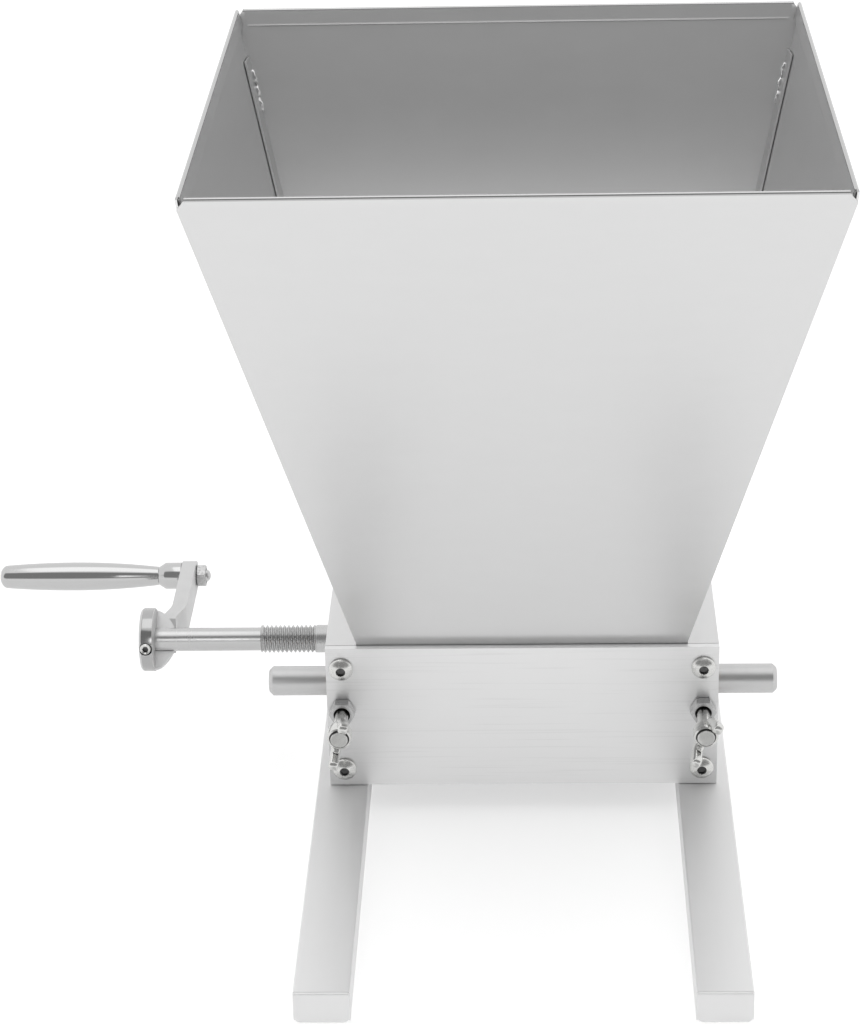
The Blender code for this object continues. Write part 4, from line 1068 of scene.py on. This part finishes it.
def grip(y, z):
    """The barrel: a round end, a belly and a neck, turned hollow for the spindle."""
    bar = bar_of("grip")
    length = bar.length
    stations = [(0, 0)]
    stations += [(GRIP_ROUND * (1 - math.cos(a)), (GRIP_END + 0.0003) * math.sin(a)) for a in quarter(8)]
    for i in range(1, 41):
        share = GRIP_ROUND / length + (1 - GRIP_ROUND / length) * i / 40
        if share < BELLY_SHARE:
            radius = GRIP_END + (GRIP_BELLY - GRIP_END) * (1 - (1 - share / BELLY_SHARE) ** 2)
        else:
            radius = GRIP_BELLY + (GRIP_NECK - GRIP_BELLY) * ((share - BELLY_SHARE) / (1 - BELLY_SHARE)) ** 2
        stations.append((length * share, radius))
    stations += [(length, GRIP_BORE), (length * 0.1, GRIP_BORE), (length * 0.1, 0)]
    shape = bmesh.new()
    lathe(shape, stations, 96, along_x(bar.left, y, z))
    piece("grip_barrel", shape, [BRIGHT_STEEL], "grip", ["grip"])


def grip_spindle(bar):
    """The pin inside the grip, its collar against the arm, and the stud through the arm."""
    collar = bar_of("grip").right + GRIP_GAP - bar.left
    shoulder = bar_of("crank_arm").right - ARM_THICKNESS - GRIP_GAP - bar.left
    dome = bar.length - STUD_DOME
    stations = [(0, 0), (0, 0.0026), (0.0004, PIN_RADIUS)]
    stations += [(collar + distance, radius) for distance, radius in COLLAR_TAPER]
    stations += [(shoulder - SHOULDER_EDGE, SHOULDER_RADIUS), (shoulder, 0.0060), (shoulder, STUD_RADIUS),
                 (dome, STUD_RADIUS)]
    stations += [(dome + STUD_DOME * math.sin(a), STUD_RADIUS * math.cos(a)) for a in quarter(6)[:-1]]
    stations.append((dome + STUD_DOME, 0))
    shape = bmesh.new()
    lathe(shape, stations, 72, along_x(bar.left, bar.y, bar.z))
    piece("grip_pin", shape, [BRIGHT_STEEL], "crank", ["grip_spindle"])


# Mirror polish gives sharp light and dark bands along the barrel, and hardly any texture.
BRIGHT_STEEL = brush_lines(surface("polished_steel", "#C8C8C8", 0.10), (0.0007, 0.02, 0.02), 0.01,
                           (0.08, 0.14), 0.000004)
spindle, end_nut = bar_of("grip_spindle"), bar_of("grip_nut")
grip(spindle.y, spindle.z)
grip_spindle(spindle)
nut("grip_hex_nut", "grip_nut", GRIP_NUT_HALF_FLAT, GRIP_NUT_MOUTH, end_nut.length,
    along_x(end_nut.left, spindle.y, spindle.z), "crank")


# Stage: the camera stands in front of the mill and looks down on it by 26 degrees. The floor is
# plain and pale under a white backdrop. One large soft lamp hangs above, and a small one stands
# close to the crank and draws the light band along its rod.

CAMERA_PLACE = (0.066987, -1.146835, 0.678470)
PITCH, YAW, ROLL = 0.449640, 0.040421, -0.025304
SENSOR_WIDTH = 36
FOCAL_SHARE = 2900 / 1024
ROOM_SHADE = "#929292"
FLOOR_SHADE = "#D0D0D0"
FLOOR_HALF_SIZE = 6
FLOOR_DROP = 0.0002
FLOOR_GLOW = 0.59
FLOOR_MIRRORED = 0.77

# The room lies in front, above eye level and below the ceiling: between which values of a
# direction's Y or Z it fades in.
ROOM_FADES = (("Y", -0.15, -0.45), ("Z", 0.08, 0.20), ("Z", 0.90, 0.84))

# Lamps: place, aim, size, power in watts and spread in degrees.
OVERHEAD = ((0.05, 0.05, 1.7), (0.05, 0.05, 0.0), (1.4, 1.2), 2.7, 180)
CRANK_FILL = ((-0.103, -0.165, 0.140), (-0.078, 0.0156, 0.0534), (0.07, 0.14), 0.0015, 26)


def camera():
    data = bpy.data.cameras.new("camera")
    data.sensor_width = SENSOR_WIDTH
    data.lens = SENSOR_WIDTH * FOCAL_SHARE
    item = bpy.data.objects.new("camera", data)
    bpy.context.scene.collection.objects.link(item)
    turn = Matrix.Rotation(YAW, 4, "Z") @ Matrix.Rotation(math.pi / 2 - PITCH, 4, "X")
    item.matrix_world = Matrix.Translation(CAMERA_PLACE) @ turn @ Matrix.Rotation(ROLL, 4, "Z")
    bpy.context.scene.camera = item


def calculate(tree, operation, *values):
    """A node that works out one number, from sockets and plain numbers."""
    made = add(tree, "ShaderNodeMath", operation=operation)
    for socket, value in enumerate(values):
        if isinstance(value, float):
            made.inputs[socket].default_value = value
        else:
            tree.links.new(value, made.inputs[socket])
    return made.outputs["Value"]


def ray_kinds(tree):
    """Which rays come from the camera, and which ones metal or glass sent on."""
    rays = add(tree, "ShaderNodeLightPath").outputs
    mirrored = calculate(tree, "MAXIMUM", rays["Is Glossy Ray"], rays["Is Transmission Ray"])
    return rays["Is Camera Ray"], mirrored


def pale_floor():
    """A pale matt floor that keeps the mill's soft shadow and is white wherever no shadow falls."""
    material, tree, shader, _ = surface("pale_floor", FLOOR_SHADE, 0.9, 0.0)
    shader.inputs["Specular IOR Level"].default_value = 0.0
    direct, mirrored = ray_kinds(tree)
    seen = calculate(tree, "MULTIPLY_ADD", mirrored, FLOOR_MIRRORED, direct)
    white = add(tree, "ShaderNodeEmission", {"Color": linear("#FFFFFF"), "Strength": FLOOR_GLOW})
    glow = add(tree, "ShaderNodeMixShader", links={0: seen, 2: white.outputs[0]})
    both = add(tree, "ShaderNodeAddShader", links={0: shader.outputs[0], 1: glow.outputs[0]})
    tree.links.new(both.outputs[0], tree.nodes["Material Output"].inputs["Surface"])
    return material


def floor():
    shape = bmesh.new()
    bmesh.ops.create_grid(shape, x_segments=1, y_segments=1, size=FLOOR_HALF_SIZE)
    item = mesh_object("floor", shape, [pale_floor()])
    item.location.z = -FLOOR_DROP


def studio():
    """A white backdrop, and in front a darker room above eye level, which shows in bright metal."""
    world = bpy.data.worlds.new("studio")
    world.use_nodes = True
    bpy.context.scene.world = world
    tree = world.node_tree
    way = add(tree, "ShaderNodeSeparateXYZ", links={0: add(tree, "ShaderNodeTexCoord").outputs["Generated"]})
    room = 1.0
    for axis, start, end in ROOM_FADES:
        fade = ramp(tree, way.outputs[axis], (start, end), interpolation_type="SMOOTHSTEP")
        room = calculate(tree, "MULTIPLY", room, fade)
    walls = add(tree, "ShaderNodeMix", {6: linear("#FFFFFF"), 7: linear(ROOM_SHADE)}, {0: room},
                data_type="RGBA")
    light = tree.nodes["Background"]
    tree.links.new(walls.outputs[2], light.inputs["Color"])
    white = add(tree, "ShaderNodeBackground", {"Color": linear("#FFFFFF"), "Strength": 1.0})
    direct, mirrored = ray_kinds(tree)
    backdrop = calculate(tree, "MULTIPLY", mirrored, calculate(tree, "SUBTRACT", 1.0, room))
    seen = calculate(tree, "MAXIMUM", direct, backdrop)
    mix = add(tree, "ShaderNodeMixShader", links={0: seen, 1: light.outputs[0], 2: white.outputs[0]})
    tree.links.new(mix.outputs[0], tree.nodes["World Output"].inputs["Surface"])


def lamp(name, place, aim, size, power, spread):
    """A rectangular lamp turned towards a point, and hidden from the camera."""
    data = bpy.data.lights.new(name, "AREA")
    data.shape = "RECTANGLE"
    data.size, data.size_y = size
    data.energy = power
    data.spread = math.radians(spread)
    item = bpy.data.objects.new(name, data)
    bpy.context.scene.collection.objects.link(item)
    item.location = place
    item.rotation_euler = (Vector(aim) - Vector(place)).to_track_quat("-Z", "Y").to_euler()
    item.visible_camera = False


camera()
floor()
studio()
lamp("overhead", *OVERHEAD)
lamp("crank_fill", *CRANK_FILL)
bpy.context.scene.view_settings.view_transform = "Standard"


bpy.context.view_layer.update()
